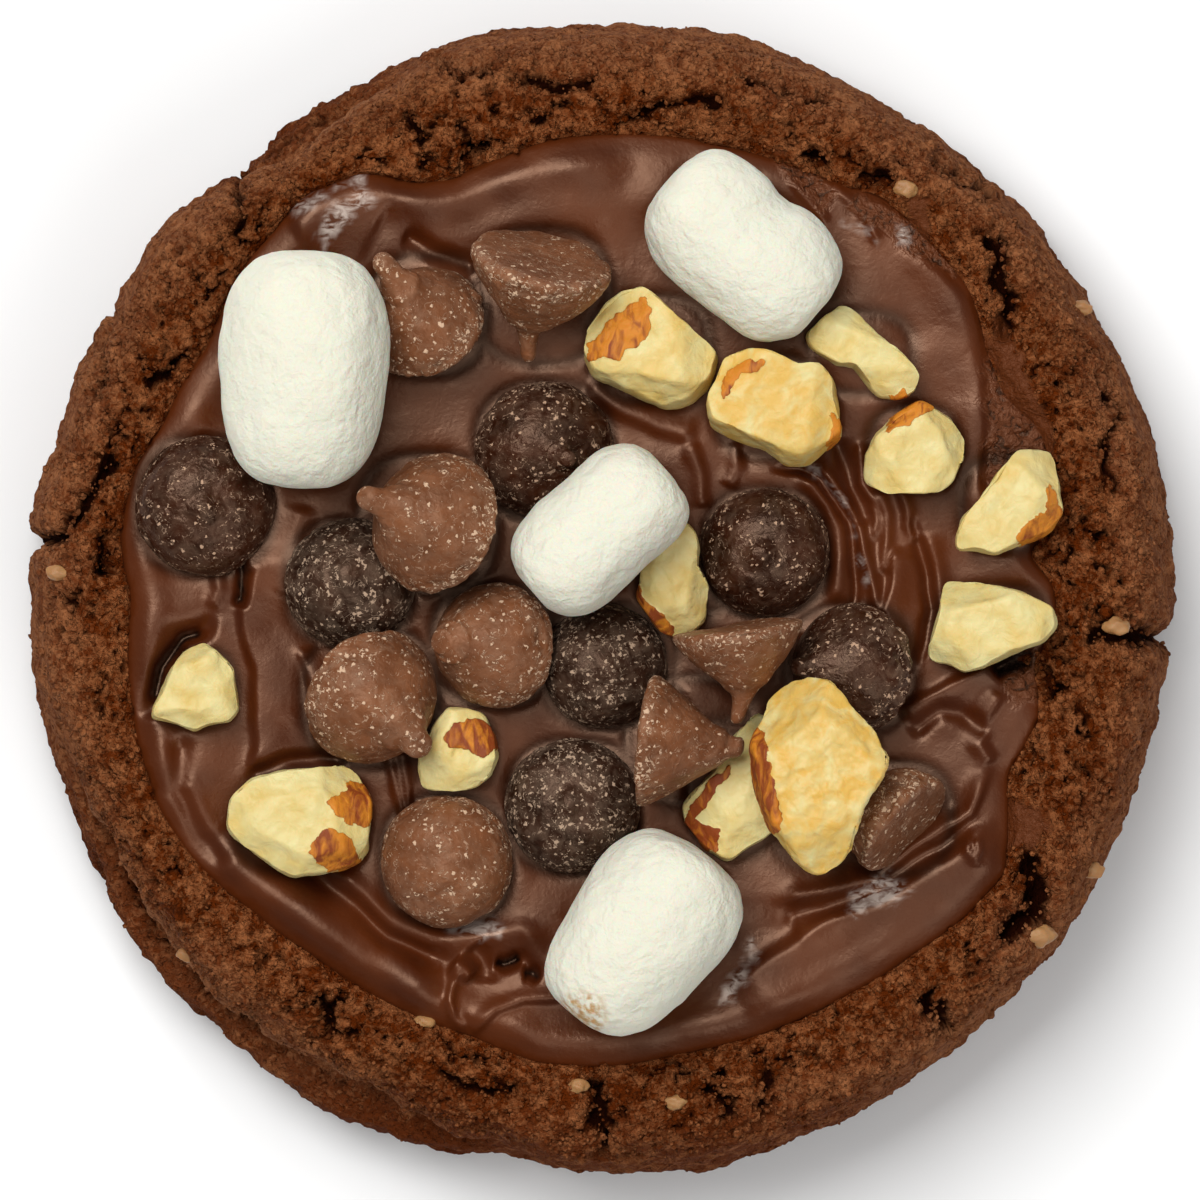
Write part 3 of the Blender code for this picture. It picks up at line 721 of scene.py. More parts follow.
@dataclass(frozen=True)
class ChipFinish:
    """Moulded chocolate: satin, flecked with scuffs that are thicker on worn edges."""

    name: str
    deep: Colour
    body: Colour
    fleck: Colour
    dusting: float
    gloss: float = 0.42

    def material(self) -> bpy.types.Material:
        """Scatter fine pale flecks and short curved scuffs over a softly uneven body.

        Returns:
            The material.
        """
        graph = Graph(self.name)
        colour = graph.blend(graph.span(graph.noise(2.6, 3.0), 0.35, 0.68), self.deep, self.body)
        wear = graph.mark("wear")
        patch = graph.span(graph.noise(2.4, 2.0), 0.36, 0.62, 0.45, 1.0)
        reach = graph.plus(graph.times(patch, self.dusting), graph.times(wear, 0.25))
        dust = graph.plus(graph.noise(0.34, 3.0, 1.4), graph.times(reach, 0.20))
        shown = graph.span(dust, 0.72, 0.76)
        contour = graph.math("ABSOLUTE", graph.math("SUBTRACT", graph.noise(1.3, 2.0, 1.4), 0.5))
        scuff = graph.times(graph.span(contour, 0.020, 0.007),
                            graph.span(graph.noise(0.8, 2.0), 0.52, 0.57))
        scuff = graph.times(scuff, graph.math("MINIMUM", 1.0, graph.times(reach, 1.8)))
        shown = graph.math("MAXIMUM", shown, scuff)
        ragged = graph.span(graph.noise(0.28, 2.0), 0.34, 0.66, -0.13, 0.17)
        for size, bend, wide in ((0.50, 0.35, 0.32), (0.72, 0.60, 0.29), (1.10, 0.90, 0.22)):
            away, chance = graph.spots(size, graph.wandering(0.30, bend))
            away = graph.plus(away, ragged)
            kept = graph.span(graph.math("SUBTRACT", reach, chance), 0.0, 0.02)
            fleck = graph.times(graph.span(away, wide, wide - 0.07), kept)
            shown = graph.math("MAXIMUM", shown, fleck)
        haze = graph.times(graph.times(reach, 0.30),
                           graph.span(graph.noise(0.9, 4.0, 0.8), 0.40, 0.66))
        colour = graph.blend(haze, colour, self.fleck)
        colour = graph.blend(graph.times(shown, 0.90), colour, self.fleck)
        graph.raise_by(graph.noise(1.0, 4.0, 0.8), 0.13)
        graph.raise_by(graph.noise(0.32, 3.0, 0.6), 0.05)
        graph.raise_by(shown, 0.04)
        roughness = graph.span(shown, 0.0, 1.0, self.gloss, 0.8)
        return graph.finish(colour, roughness, Specular_IOR_Level=0.36,
                            Specular_Tint=(1.0, 0.64, 0.45))


@dataclass(frozen=True)
class AlmondFinish:
    """Cut almond: cream flesh, golden where toasted, with brown papery skin where marked."""

    name: str = "cut_almond"
    flesh: Colour = (0.720, 0.628, 0.290)
    shade: Colour = (0.665, 0.490, 0.155)
    toasted: Colour = (0.70, 0.42, 0.080)
    skin: Colour = (0.60, 0.205, 0.012)
    dark_skin: Colour = (0.24, 0.045, 0.004)

    def material(self) -> bpy.types.Material:
        """Cloud the flesh, toast it by its mark, and lay the veined skin over it.

        Returns:
            The material.
        """
        graph = Graph(self.name)
        colour = graph.blend(graph.span(graph.noise(2.2, 3.0), 0.38, 0.72), self.flesh, self.shade)
        toast = graph.times(graph.mark("toast"),
                            graph.span(graph.noise(1.8, 4.0, 0.6), 0.30, 0.62))
        colour = graph.blend(toast, colour, self.toasted)
        veins = graph.noise(0.9, 4.0, 0.9, graph.stretched((1.0, 0.30, 1.0), 35.0))
        veins = graph.math("SUBTRACT", veins, graph.times(graph.mark("browning"), 0.25))
        brown = graph.blend(graph.span(veins, 0.30, 0.50), self.dark_skin, self.skin)
        edge = graph.plus(graph.mark("skin"),
                          graph.span(graph.noise(0.5, 3.0), 0.3, 0.7, -0.25, 0.25))
        cover = graph.span(edge, 0.45, 0.55)
        colour = graph.blend(cover, colour, brown)
        graph.raise_by(graph.noise(1.3, 4.0, 0.5), 0.22)
        graph.raise_by(graph.times(veins, cover), 0.12)
        return graph.finish(colour, graph.span(cover, 0.0, 1.0, 0.48, 0.62),
                            Subsurface_Weight=0.12, Subsurface_Scale=0.002,
                            Specular_IOR_Level=0.35)


@dataclass(frozen=True)
class MarshmallowFinish:
    """Dusted marshmallow: matt white and soft, with a fine wrinkled skin."""

    name: str = "dusted_marshmallow"
    white: Colour = (0.755, 0.742, 0.612)
    smudge: Colour = (0.50, 0.30, 0.13)

    def material(self) -> bpy.types.Material:
        """Wrinkle a softly lit white, and brown it where marked.

        Returns:
            The material.
        """
        graph = Graph(self.name)
        stain = graph.times(graph.mark("smudge"),
                            graph.span(graph.noise(0.7, 3.0), 0.40, 0.62))
        colour = graph.blend(stain, self.white, self.smudge)
        graph.raise_by(graph.noise(1.7, 2.0, 0.5), 0.30)
        graph.raise_by(graph.noise(0.75, 3.0, 0.4), 0.15)
        graph.raise_by(graph.noise(0.25, 2.0), 0.06)
        return graph.finish(colour, 0.85, Subsurface_Weight=0.35, Subsurface_Scale=0.0025,
                            Specular_IOR_Level=0.2)


@dataclass(frozen=True)
class Furrow:
    """A crack cut in the dough or a fold raised on the spread, along points in plan.

    Its height falls off like a bell, over one width to its left and another to its right.
    """

    height: float
    left: float
    right: float
    points: tuple[Point, ...]

    def relief(self, x: Array, y: Array, wander: Array | float = 0.0) -> Array:
        """Height at each place, let down gently towards both ends of the line.

        Args:
            x: places across.
            y: places up.
            wander: how far the line is moved aside at each place.

        Returns:
            The height, in millimetres.
        """
        side, share = line_measure(x, y, self.points)
        side = side + wander
        width = np.where(side > 0.0, self.left, self.right)
        fade = ease(share, 0.0, 0.12) * ease(1.0 - share, 0.0, 0.12)
        return self.height * fade * np.exp(-(side / width) ** 2)


# Cracks baked into the dough: height, width to the left and to the right, and points in plan
CRACKS = tuple(Furrow(*row) for row in (
    (-1.3, 0.6, 0.6, ((2.3, 38.6), (2.3, 39.4), (3.8, 40.9), (8.4, 41.4), (10.8, 41.9))),
    (-2.2, 0.8, 0.8, ((-10.1, 38.2), (-10.1, 37.6), (-10.1, 36), (-9.9, 35.4))),
    (-1.8, 0.8, 0.8, ((31.2, 29.8), (33.3, 30), (33.3, 26.3), (34.3, 25), (33.2, 23.5), (32.8, 21))),
    (-2.8, 1, 1, ((21.3, 35.2), (22, 34.8), (23.8, 34), (24.5, 33.8))),
    (-2, 0.8, 0.8, ((16.8, 37.3), (17.6, 36.5), (18.4, 35.6), (19, 34.8))),
    (-1.8, 0.8, 0.8, ((-40, 12.6), (-40.8, 11.7), (-42, 9.4), (-43.8, 7), (-45.3, 5.5), (-48.5, 4.4))),
    (-2.8, 1.2, 1.2, ((-40.4, 6), (-40.4, 5.2), (-40.6, 3), (-40.4, 2))),
    (-1.6, 0.8, 0.8, ((39.8, -2.9), (40.8, -2.9), (45, -3.2), (48.5, -3.3))),
    (-2.4, 1, 1, ((35.5, -20.3), (35.5, -21.3), (37, -26.3), (33.8, -27.8), (32.6, -28.2))),
    (-1.8, 0.9, 0.9, ((27, -32.4), (27.5, -33.2), (28.9, -35.8), (29.3, -36.6))),
    (-1.8, 0.7, 0.7, ((-0.3, -38.8), (-0.3, -41.2), (0, -43.3), (0.4, -45.4), (0.5, -47))),
    (-1.8, 0.8, 0.8, ((-23.3, -32.4), (-23.1, -33.2), (-22.4, -36.2), (-22.2, -37))),
    (-2.2, 0.9, 0.9, ((35.9, -4.6), (36.3, -5.4), (37.4, -7.5), (37.8, -8.4))),
    (-1.8, 0.5, 0.5, ((-30.4, 37), (-30.3, 34.6), (-30.1, 31.8), (-30, 30))),
    (-1.4, 0.6, 0.6, ((-38, 17.5), (-36, 18.6), (-34.5, 19.7), (-33.4, 20.6))),
    (-0.8, 0.5, 0.5, ((-35.5, -30), (-33, -33.2), (-29.5, -35.2), (-26, -38.4))),
    (-0.8, 0.5, 0.5, ((-41.5, -18), (-39.6, -24), (-36.6, -29), (-34, -32))),
    (-0.6, 0.6, 0.6, ((-20, 42.4), (-25, 39.6), (-29, 37), (-31.5, 34.8))),
    (-1.1, 0.5, 0.5, ((12.5, -36.5), (14, -39.5), (13.2, -42), (14, -44))),
    (-1.2, 0.6, 0.6, ((41.5, 20), (43, 15.5), (42, 12), (43.4, 8))),
    (-1.3, 0.5, 0.5, ((-14.6, 45), (-13.7, 44.8), (-11.5, 43.8), (-9.5, 44.2), (-8.6, 44.4))),
    (-1.3, 0.5, 0.5, ((-7.8, 43.4), (-7, 43.5), (-4, 42.6), (-1, 42.9), (0.4, 43.4))),
    (-1.5, 0.5, 0.5, ((-17, 41.2), (-16.4, 40.7), (-15.4, 39.6), (-13.6, 38.8))),
    (-1.3, 0.5, 0.5, ((11.6, 44.2), (14, 43), (17, 41.8), (19.6, 41.6))),
    (-1.3, 0.5, 0.5, ((27.4, 37), (29.4, 35.4), (31.8, 34.6), (33.6, 33))),
    (-1.2, 0.5, 0.5, ((-43, 16), (-41.6, 18.8), (-41.8, 21.4), (-40, 24.4))),
    (-1.3, 0.5, 0.5, ((8, -40.4), (10.2, -41.6), (11.4, -43.8))),
    (-1.2, 0.5, 0.5, ((-13.6, -38.4), (-12.4, -40.2), (-9.6, -41.2), (-6.4, -40.6))),
))

# Bits of nut baked into the dough: plan position, radius
NUT_BITS = (
    ((-45, 2.1), 1.2), ((25.4, 34.2), 1.3), ((40, 24.2), 1.2), ((42.8, -2.1), 1.4), ((36.5, -27.9), 1.8),
    ((40.8, -22.5), 1.3), ((-22.5, -30), 0.9), ((-14.6, -35), 1.1), ((-34.2, -29.6), 1.2),
    ((-1.7, -40.3), 1.1), ((6.3, -41.7), 1.2),
)

# Places where the knife dragged a thin coat of chocolate over the dough
SMEARS = (
    ((14.6, 37.5), (15.8, 36.2), (17.1, 34.2), (16.7, 32.1), (15.4, 33.3), (14.2, 35.8)),
    ((18.3, 34.2), (20.8, 32.9), (22.9, 31.2), (23.2, 29.6), (21.8, 30.2), (19.6, 32.1)),
    ((32.1, 25), (34.2, 22.5), (36.2, 18.3), (37.9, 13.3), (37.5, 10), (35, 10.8), (33.3, 16.7),
     (31.7, 20.8)),
    ((32.1, -15.8), (34.2, -16.7), (36.7, -16.7), (38.3, -19.2), (35, -20.8), (32.5, -23.3), (30, -23.3),
     (31.2, -20)),
    ((25.4, 34.2), (27.5, 33.3), (27.9, 30.4), (26.2, 30), (25, 32.1)),
)


@dataclass
class BakedDough:
    """The thick round of dough, a closed surface of rings from its underside to the spread."""

    columns: int = 1000
    crag: float = 0.45
    crag_size: float = 3.4
    crumb: float = 0.24
    crumb_size: float = 1.25
    grain: float = 0.20
    grain_size: float = 0.70
    fissure: float = 1.0
    pit: float = 1.2
    crack: float = 1.15
    crack_wander: float = 0.7
    ledge: float = 0.4
    ledge_height: float = 10.3
    ridge: float = 0.25
    ridge_height: float = 12.9
    foot_height: float = 10.8
    seed: int = 11

    # Distances from the middle between which the crust turns paler
    crust_start: float = 41.8
    crust_full: float = 46.6

    # Inset from the cookie's edge and height, then share of the way to the spread and height
    lower_side: tuple[Point, ...] = ((2.2, 0.0), (0.8, 1.1), (0.15, 3.2), (0.0, 6.0), (0.3, 8.6))
    upper_side: tuple[Point, ...] = (
        (0.02, 10.8), (0.05, 13.2), (0.09, 15.4), (0.15, 17.2), (0.24, 18.6), (0.36, 19.5),
        (0.55, 20.0), (0.78, 20.0), (0.91, 19.6), (1.0, RIM_HEIGHT), (1.07, 17.4), (1.12, 17.0),
    )
    steps: tuple[int, ...] = (3, 4, 5, 5, 6, 5, 5, 5, 5, 6, 8, 10, 12, 8, 3, 1)

    def __post_init__(self) -> None:
        """Start the noise that the relief is drawn from."""
        self.numbers = Numbers(self.seed)
        self.points = np.zeros((0, 0, 3))
        self.normals = np.zeros((0, 0, 3))
        self.marks: dict[str, Array] = {}

    def outline_rings(self) -> Array:
        """Radius and height of the control rings: an array of rings by directions by two.

        Returns:
            The control rings, from the underside up.
        """
        degrees = directions(self.columns)
        edge = around(COOKIE_EDGE, degrees, 6)
        upper = edge - around(FOOT_STEP, degrees, 5)
        spread = around(SPREAD_OUTLINE, degrees, 4)
        level = np.ones(self.columns)
        rings = [np.column_stack((edge - inset, level * height))
                 for inset, height in self.lower_side]
        rings += [np.column_stack((upper + (spread - upper) * share, level * height))
                  for share, height in self.upper_side]
        return np.stack(rings)

    def smooth_surface(self) -> Array:
        """Points of the dough before its relief: the rings joined by a smooth curve.

        Returns:
            X, Y and Z in rings of points, from the underside up.
        """
        control = self.outline_rings()
        rings = curve_rows(control, even_places(control[1:], np.array(self.steps)))
        rings[..., 1] = np.maximum(rings[..., 1], 0.0)
        turn = np.radians(directions(self.columns))
        under = np.linspace(0.2, 0.97, 3)[:, None] * rings[0, :, 0]
        seat = np.linspace(0.97, 0.3, 2)[:, None] * rings[-1, :, 0]
        radius = np.vstack((under, rings[..., 0], seat))
        height = np.vstack((np.zeros_like(under), rings[..., 1],
                            np.full_like(seat, rings[-1, 0, 1])))
        return np.stack((radius * np.cos(turn), radius * np.sin(turn), height), axis=-1)

    def coarse_relief(self, points: Array) -> Array:
        """Crags and jagged cracks, in millimetres outwards.

        Args:
            points: places on the smooth dough.

        Returns:
            The relief.
        """
        crags = self.numbers.layers(points, self.crag_size, 2)
        x, y = points[..., 0], points[..., 1]
        wander = self.crack_wander * self.numbers.layers(points + 40.0, 1.6, 3)
        cracks = np.zeros(x.shape)
        for crack in CRACKS:
            cracks = np.minimum(cracks, crack.relief(x, y, wander))
        return self.crag * crags + self.crack * cracks

    def fine_relief(self, points: Array, open_share: Array) -> tuple[Array, Array]:
        """Crumb, grains, fissures and pits.

        Crumb is layered noise and a grain is the round top of a cell. A fissure runs where
        noise passes through zero, and a pit is cut where noise passes a threshold; both are
        kept to the parts where the crumb is open.

        Args:
            points: places on the smooth dough.
            open_share: how open the crumb is at each place.

        Returns:
            The relief outwards, and each place's tone, partly painted light that follows the crumb's
            height.
        """
        push = np.stack([self.numbers.layers(points + shift, 1.3, 2)
                         for shift in (5.0, 25.0, 45.0)], axis=-1)
        wander = points + 0.55 * push
        crumb = self.numbers.layers(wander, self.crumb_size, 4)
        near, far, tone = self.numbers.cells(wander + 9.0, self.grain_size)
        grains = (0.5 - near ** 2) * ease(far - near, 0.0, 0.3)
        crossing = self.numbers.layers(wander + 31.0, 3.4, 3)
        broken = ease(self.numbers.layers(points + 91.0, 2.4, 2), -0.10, 0.25)
        fissures = np.exp(-(crossing / 0.11) ** 2) * broken
        pits = ease(self.numbers.layers(wander + 71.0, 1.15, 2), 0.42, 0.80)
        relief = self.crumb * crumb + self.grain * grains
        relief -= open_share * (self.fissure * fissures + self.pit * pits)
        return relief, 0.35 * crumb + 0.5 * (tone - 0.5)

    def smear_share(self, points: Array) -> Array:
        """How far each place is under a dragged coat of chocolate, with streaky edges.

        Args:
            points: places on the smooth dough.

        Returns:
            The share, from 0 to 1.
        """
        ragged = 0.9 * self.numbers.layers(points * np.array([1.0, 0.45, 1.0]) + 3.0, 1.4, 3)
        on_top = ease(points[..., 2], RIM_HEIGHT - 0.8, RIM_HEIGHT)
        return on_top * share_inside(points[..., 0], points[..., 1], SMEARS, ragged, -0.2, 0.5)

    def tier_shares(self, points: Array) -> tuple[Array, Array, Array]:
        """How far each place belongs to the lower tier's step.

        Args:
            points: places on the smooth dough.

        Returns:
            Shares of the ledge between the tiers, the ridge above it and the foot below it.
        """
        height = points[..., 2]
        jag = 0.5 * self.numbers.layers(points + 55.0, 2.4, 3)
        tiered = ease(around(FOOT_STEP, directions(self.columns), 5), 0.3, 1.5)
        ledge = np.exp(-((height - self.ledge_height + jag) / 0.8) ** 2) * tiered
        ridge = np.exp(-((height - self.ridge_height + jag) / 1.3) ** 2) * tiered
        return ledge, ridge, ease(self.foot_height - height, 0.0, 1.2) * tiered

    def shape(self) -> None:
        """Push the smooth surface out by its relief, and keep its points and its marks."""
        smooth = self.smooth_surface()
        height = smooth[..., 2]
        radius = np.hypot(smooth[..., 0], smooth[..., 1])
        spread = around(SPREAD_OUTLINE, directions(self.columns), 4)
        clear = ease(height, 0.0, 2.5) * ease(radius - spread, -0.2, 1.2)
        smear = self.smear_share(smooth)
        uneven = 1.6 * self.numbers.layers(smooth + 17.0, 6.0, 2)
        baked = ease(radius + uneven, self.crust_start, self.crust_full) * ease(height, 2.0, 9.0)
        open_share = 0.25 + 0.75 * ease(self.numbers.layers(smooth + 7.0, 8.0, 2), -0.4, 0.35)
        open_share *= (1.0 - 0.65 * baked) * (1.0 - smear)
        fine, tone = self.fine_relief(smooth, open_share)
        fine = fine * (1.0 - 0.45 * smear) * (1.0 - 0.35 * baked)
        coarse = self.coarse_relief(smooth)
        ledge, ridge, foot = self.tier_shares(smooth)
        relief = coarse + fine * (1.0 - 0.4 * ridge) - self.ledge * ledge + self.ridge * ridge
        self.points = pushed_out(smooth, clear * relief)
        self.points[..., 2] = np.maximum(self.points[..., 2], 0.0)
        self.normals = grid_normals(self.points)
        # Painted shade: tone and pale crust turn darker towards the front edge (-Y), and the tone on the
        # lower tier's foot
        painted_front_shade = ease(-smooth[..., 1], 39.0, 44.0)
        # Painted shade: places low in the relief, and in the ledge, are marked to be darkened
        low = -(fine + 0.12) - 1.4 * np.minimum(coarse + 0.6, 0.0) + 0.15 * ledge
        crusty = np.maximum(0.5 * baked * (1.0 - 0.5 * foot), 0.85 * ridge)
        self.marks = {
            "painted_hollow_shade": np.clip(low * 1.5, 0.0, 1.0) * clear * (1.0 - 0.5 * smear),
            "tone": tone - 0.40 * foot - 0.30 * painted_front_shade,
            "baked": crusty * (1.0 - 0.6 * painted_front_shade), "smear": smear,
        }

    def build(self, finish: bpy.types.Material) -> None:
        """Close the surface with two poles on the cookie's axis, and dress it.

        Args:
            finish: the dough's material.
        """
        self.shape()
        seat = self.points[-1, :, 2].mean()
        flat = np.vstack((self.points.reshape(-1, 3), [[0.0, 0.0, 0.0]], [[0.0, 0.0, seat]]))
        marks = {name: np.append(values.ravel(), (0.0, 0.0))
                 for name, values in self.marks.items()}
        faces = wrapped_faces(len(self.points), self.columns)
        hand_over(make_piece("dough_baked", flat, faces, finish, marks), "cookie")


def ball_of_twenty() -> tuple[Array, Array]:
    """Corners and faces of an icosahedron of radius 1: three golden rectangles crossed.

    Returns:
        The 12 corners, and the 20 triangles.
    """
    golden = (1.0 + math.sqrt(5.0)) / 2.0
    flat = np.array([(a, b * golden, 0.0) for a in (-1.0, 1.0) for b in (-1.0, 1.0)])
    corners = np.vstack([np.roll(flat, shift, axis=1) for shift in range(3)])
    corners /= np.linalg.norm(corners[0])
    gaps = np.linalg.norm(corners[:, None] - corners[None], axis=-1)
    side = np.sort(gaps[0])[1] * 1.01
    faces = []
    for a, b, c in itertools.combinations(range(12), 3):
        if max(gaps[a, b], gaps[b, c], gaps[a, c]) < side:
            outward = np.dot(np.cross(corners[b] - corners[a], corners[c] - corners[a]), corners[a])
            faces.append((a, b, c) if outward > 0.0 else (a, c, b))
    return corners, np.array(faces)


@dataclass
class Crumbs:
    """Loose grains that stand on the dough, joined into one piece."""

    name: str
    count: int
    smallest: float
    largest: float
    top_weight: float
    seed: int
    rise: float = 0.08

    def build(self, dough: BakedDough, finish: bpy.types.Material) -> None:
        """Scatter uneven grains over the dough by area, more of them on its upper face.

        Each grain is an icosahedron whose corners are drawn in or out at random, squashed
        along random axes, and sunk almost by half into the dough.

        Args:
            dough: the shaped dough.
            finish: the dough's material.
        """
        draw = np.random.default_rng(self.seed)
        points = dough.points
        across = np.roll(points, -1, axis=1) - points
        along = np.roll(points, -1, axis=0) - points
        weight = self._weight(dough, np.linalg.norm(np.cross(across, along), axis=-1))
        chosen = draw.choice(weight.size, self.count, p=(weight / weight.sum()).ravel())
        row, column = np.unravel_index(chosen, weight.shape)
        step = draw.random((self.count, 2, 1))
        place = (points[row, column] + across[row, column] * step[:, 0]
                 + along[row, column] * step[:, 1])
        corners, faces = ball_of_twenty()
        size = self.smallest + (self.largest - self.smallest) * draw.random(self.count) ** 2.2
        stretch = draw.uniform(0.7, 1.25, (self.count, 1, 3))
        many = len(corners)
        bumps = draw.uniform(0.72, 1.2, (self.count, many, 1))
        turned = self._turned(corners * stretch * bumps * size[:, None, None] / 2.0, draw)
        placed = turned + (place + dough.normals[row, column] * size[:, None] * self.rise)[:, None]
        listed = faces + many * np.arange(self.count)[:, None, None]
        marks = {
            "tone": np.repeat(draw.normal(0.05, 0.18, self.count), many),
            "baked": np.repeat(dough.marks["baked"][row, column], many),
            "painted_hollow_shade": np.zeros(many * self.count), "smear": np.zeros(many * self.count),
        }
        hand_over(make_piece(self.name, placed.reshape(-1, 3), [listed.reshape(-1, 3)], finish,
                             marks))

    def _weight(self, dough: BakedDough, area: Array) -> Array:
        """Chance of a grain at each place: by area, clear of the spread, edge and hollows.

        Args:
            dough: the shaped dough.
            area: area of the dough at each place.

        Returns:
            The chance, not yet shared out to a sum of 1.
        """
        points, degrees = dough.points, directions(dough.columns)
        height = points[..., 2]
        radius = np.hypot(points[..., 0], points[..., 1])
        free = (radius > around(SPREAD_OUTLINE, degrees, 4) + 0.6) & (height > 1.2)
        weight = area * free * (0.25 + self.top_weight * ease(height, 12.0, 17.5))
        weight *= (1.0 - dough.marks["smear"]) * (1.0 - 0.8 * dough.marks["painted_hollow_shade"])
        weight *= 1.0 - 0.85 * ease(radius - around(COOKIE_EDGE, degrees, 4), -2.2, -0.8)
        weight[-1] = 0.0
        return weight

    def _turned(self, grains: Array, draw: np.random.Generator) -> Array:
        """Turn each grain by its own random unit quaternion.

        Args:
            grains: corners of each grain.
            draw: the random draws.

        Returns:
            The turned corners.
        """
        spin = draw.normal(size=(self.count, 4))
        spin /= np.linalg.norm(spin, axis=1, keepdims=True)
        w, axis = spin[:, None, :1], np.repeat(spin[:, None, 1:], grains.shape[1], axis=1)
        swept = np.cross(axis, grains)
        return grains + 2.0 * (w * swept + np.cross(axis, swept))


@dataclass
class BakedNuts:
    """Bits of nut that just show in the dough, joined into one piece."""

    columns: int = 28
    rows: int = 14
    flatness: float = 0.62
    shrink: float = 0.62
    knob: float = 0.30
    seed: int = 23

    def build(self, dough: BakedDough, finish: bpy.types.Material) -> None:
        """Set a knobbly oval at each bit's place on the dough.

        Each is a sphere, drawn in or out by noise, flattened, and sunk by half into the dough.

        Args:
            dough: the shaped dough.
            finish: the baked nut's material.
        """
        numbers = Numbers(self.seed)
        surface = dough.points.reshape(-1, 3)
        low = surface[:, 2] <= 10.0
        sweep = np.linspace(0.0, math.pi, self.rows + 2)[1:-1, None]
        turn = turns(self.columns)[None]
        ball = np.stack((np.sin(sweep) * np.cos(turn), np.sin(sweep) * np.sin(turn),
                         -np.cos(sweep) * np.ones_like(turn)), axis=-1)
        faces = wrapped_faces(self.rows, self.columns)
        blocks, listed = [], []
        for index, ((x, y), radius) in enumerate(NUT_BITS):
            away = np.hypot(surface[:, 0] - x, surface[:, 1] - y) + 50.0 * low
            knobs = numbers.layers(ball * radius + 10.0 * index, radius * 0.9, 2)
            shape = ball * (radius * self.shrink * (1.0 + self.knob * knobs))[..., None]
            shape = shape * np.array([1.25, 0.85, self.flatness])
            ends = [[0.0, 0.0, shape[row, :, 2].mean()] for row in (0, -1)]
            listed += [block + index * (self.rows * self.columns + 2) for block in faces]
            blocks.append(np.vstack((shape.reshape(-1, 3), ends)) + surface[np.argmin(away)])
        points = np.vstack(blocks)
        marks = {"toast": np.full(len(points), 0.5), "skin": np.zeros(len(points))}
        hand_over(make_piece("dough_nut_bits", points, listed, finish, marks))


# Holes that the spread leaves open, told in the same way; the finish paints shade in them
PITS = tuple(Furrow(*row) for row in (
    (-1.7, 0.8, 0.8, ((32.6, -6), (33.4, -5.6), (34.4, -5.2), (35.4, -4.9), (36, -4.9))),
    (-1.2, 0.45, 0.45, ((-8.8, -30), (-8, -30.2), (-7.2, -30), (-6.6, -29.6))),
    (-1.1, 0.4, 0.4, ((-6.4, -31), (-5.6, -31), (-5, -31.5))),
    (-1.6, 0.7, 0.7, ((20.2, 35.4), (21.2, 35), (22.6, 34.4), (23.8, 34), (24.6, 34))),
    (-1.3, 0.35, 0.35, ((-30.6, 4.6), (-29.8, 2.8), (-29.8, 0.4), (-30.1, -0.6))),
    (-1.2, 0.45, 0.45, ((-37.2, -8.8), (-36.4, -5.6), (-34.6, -3.2), (-32.6, -2.6))),
))

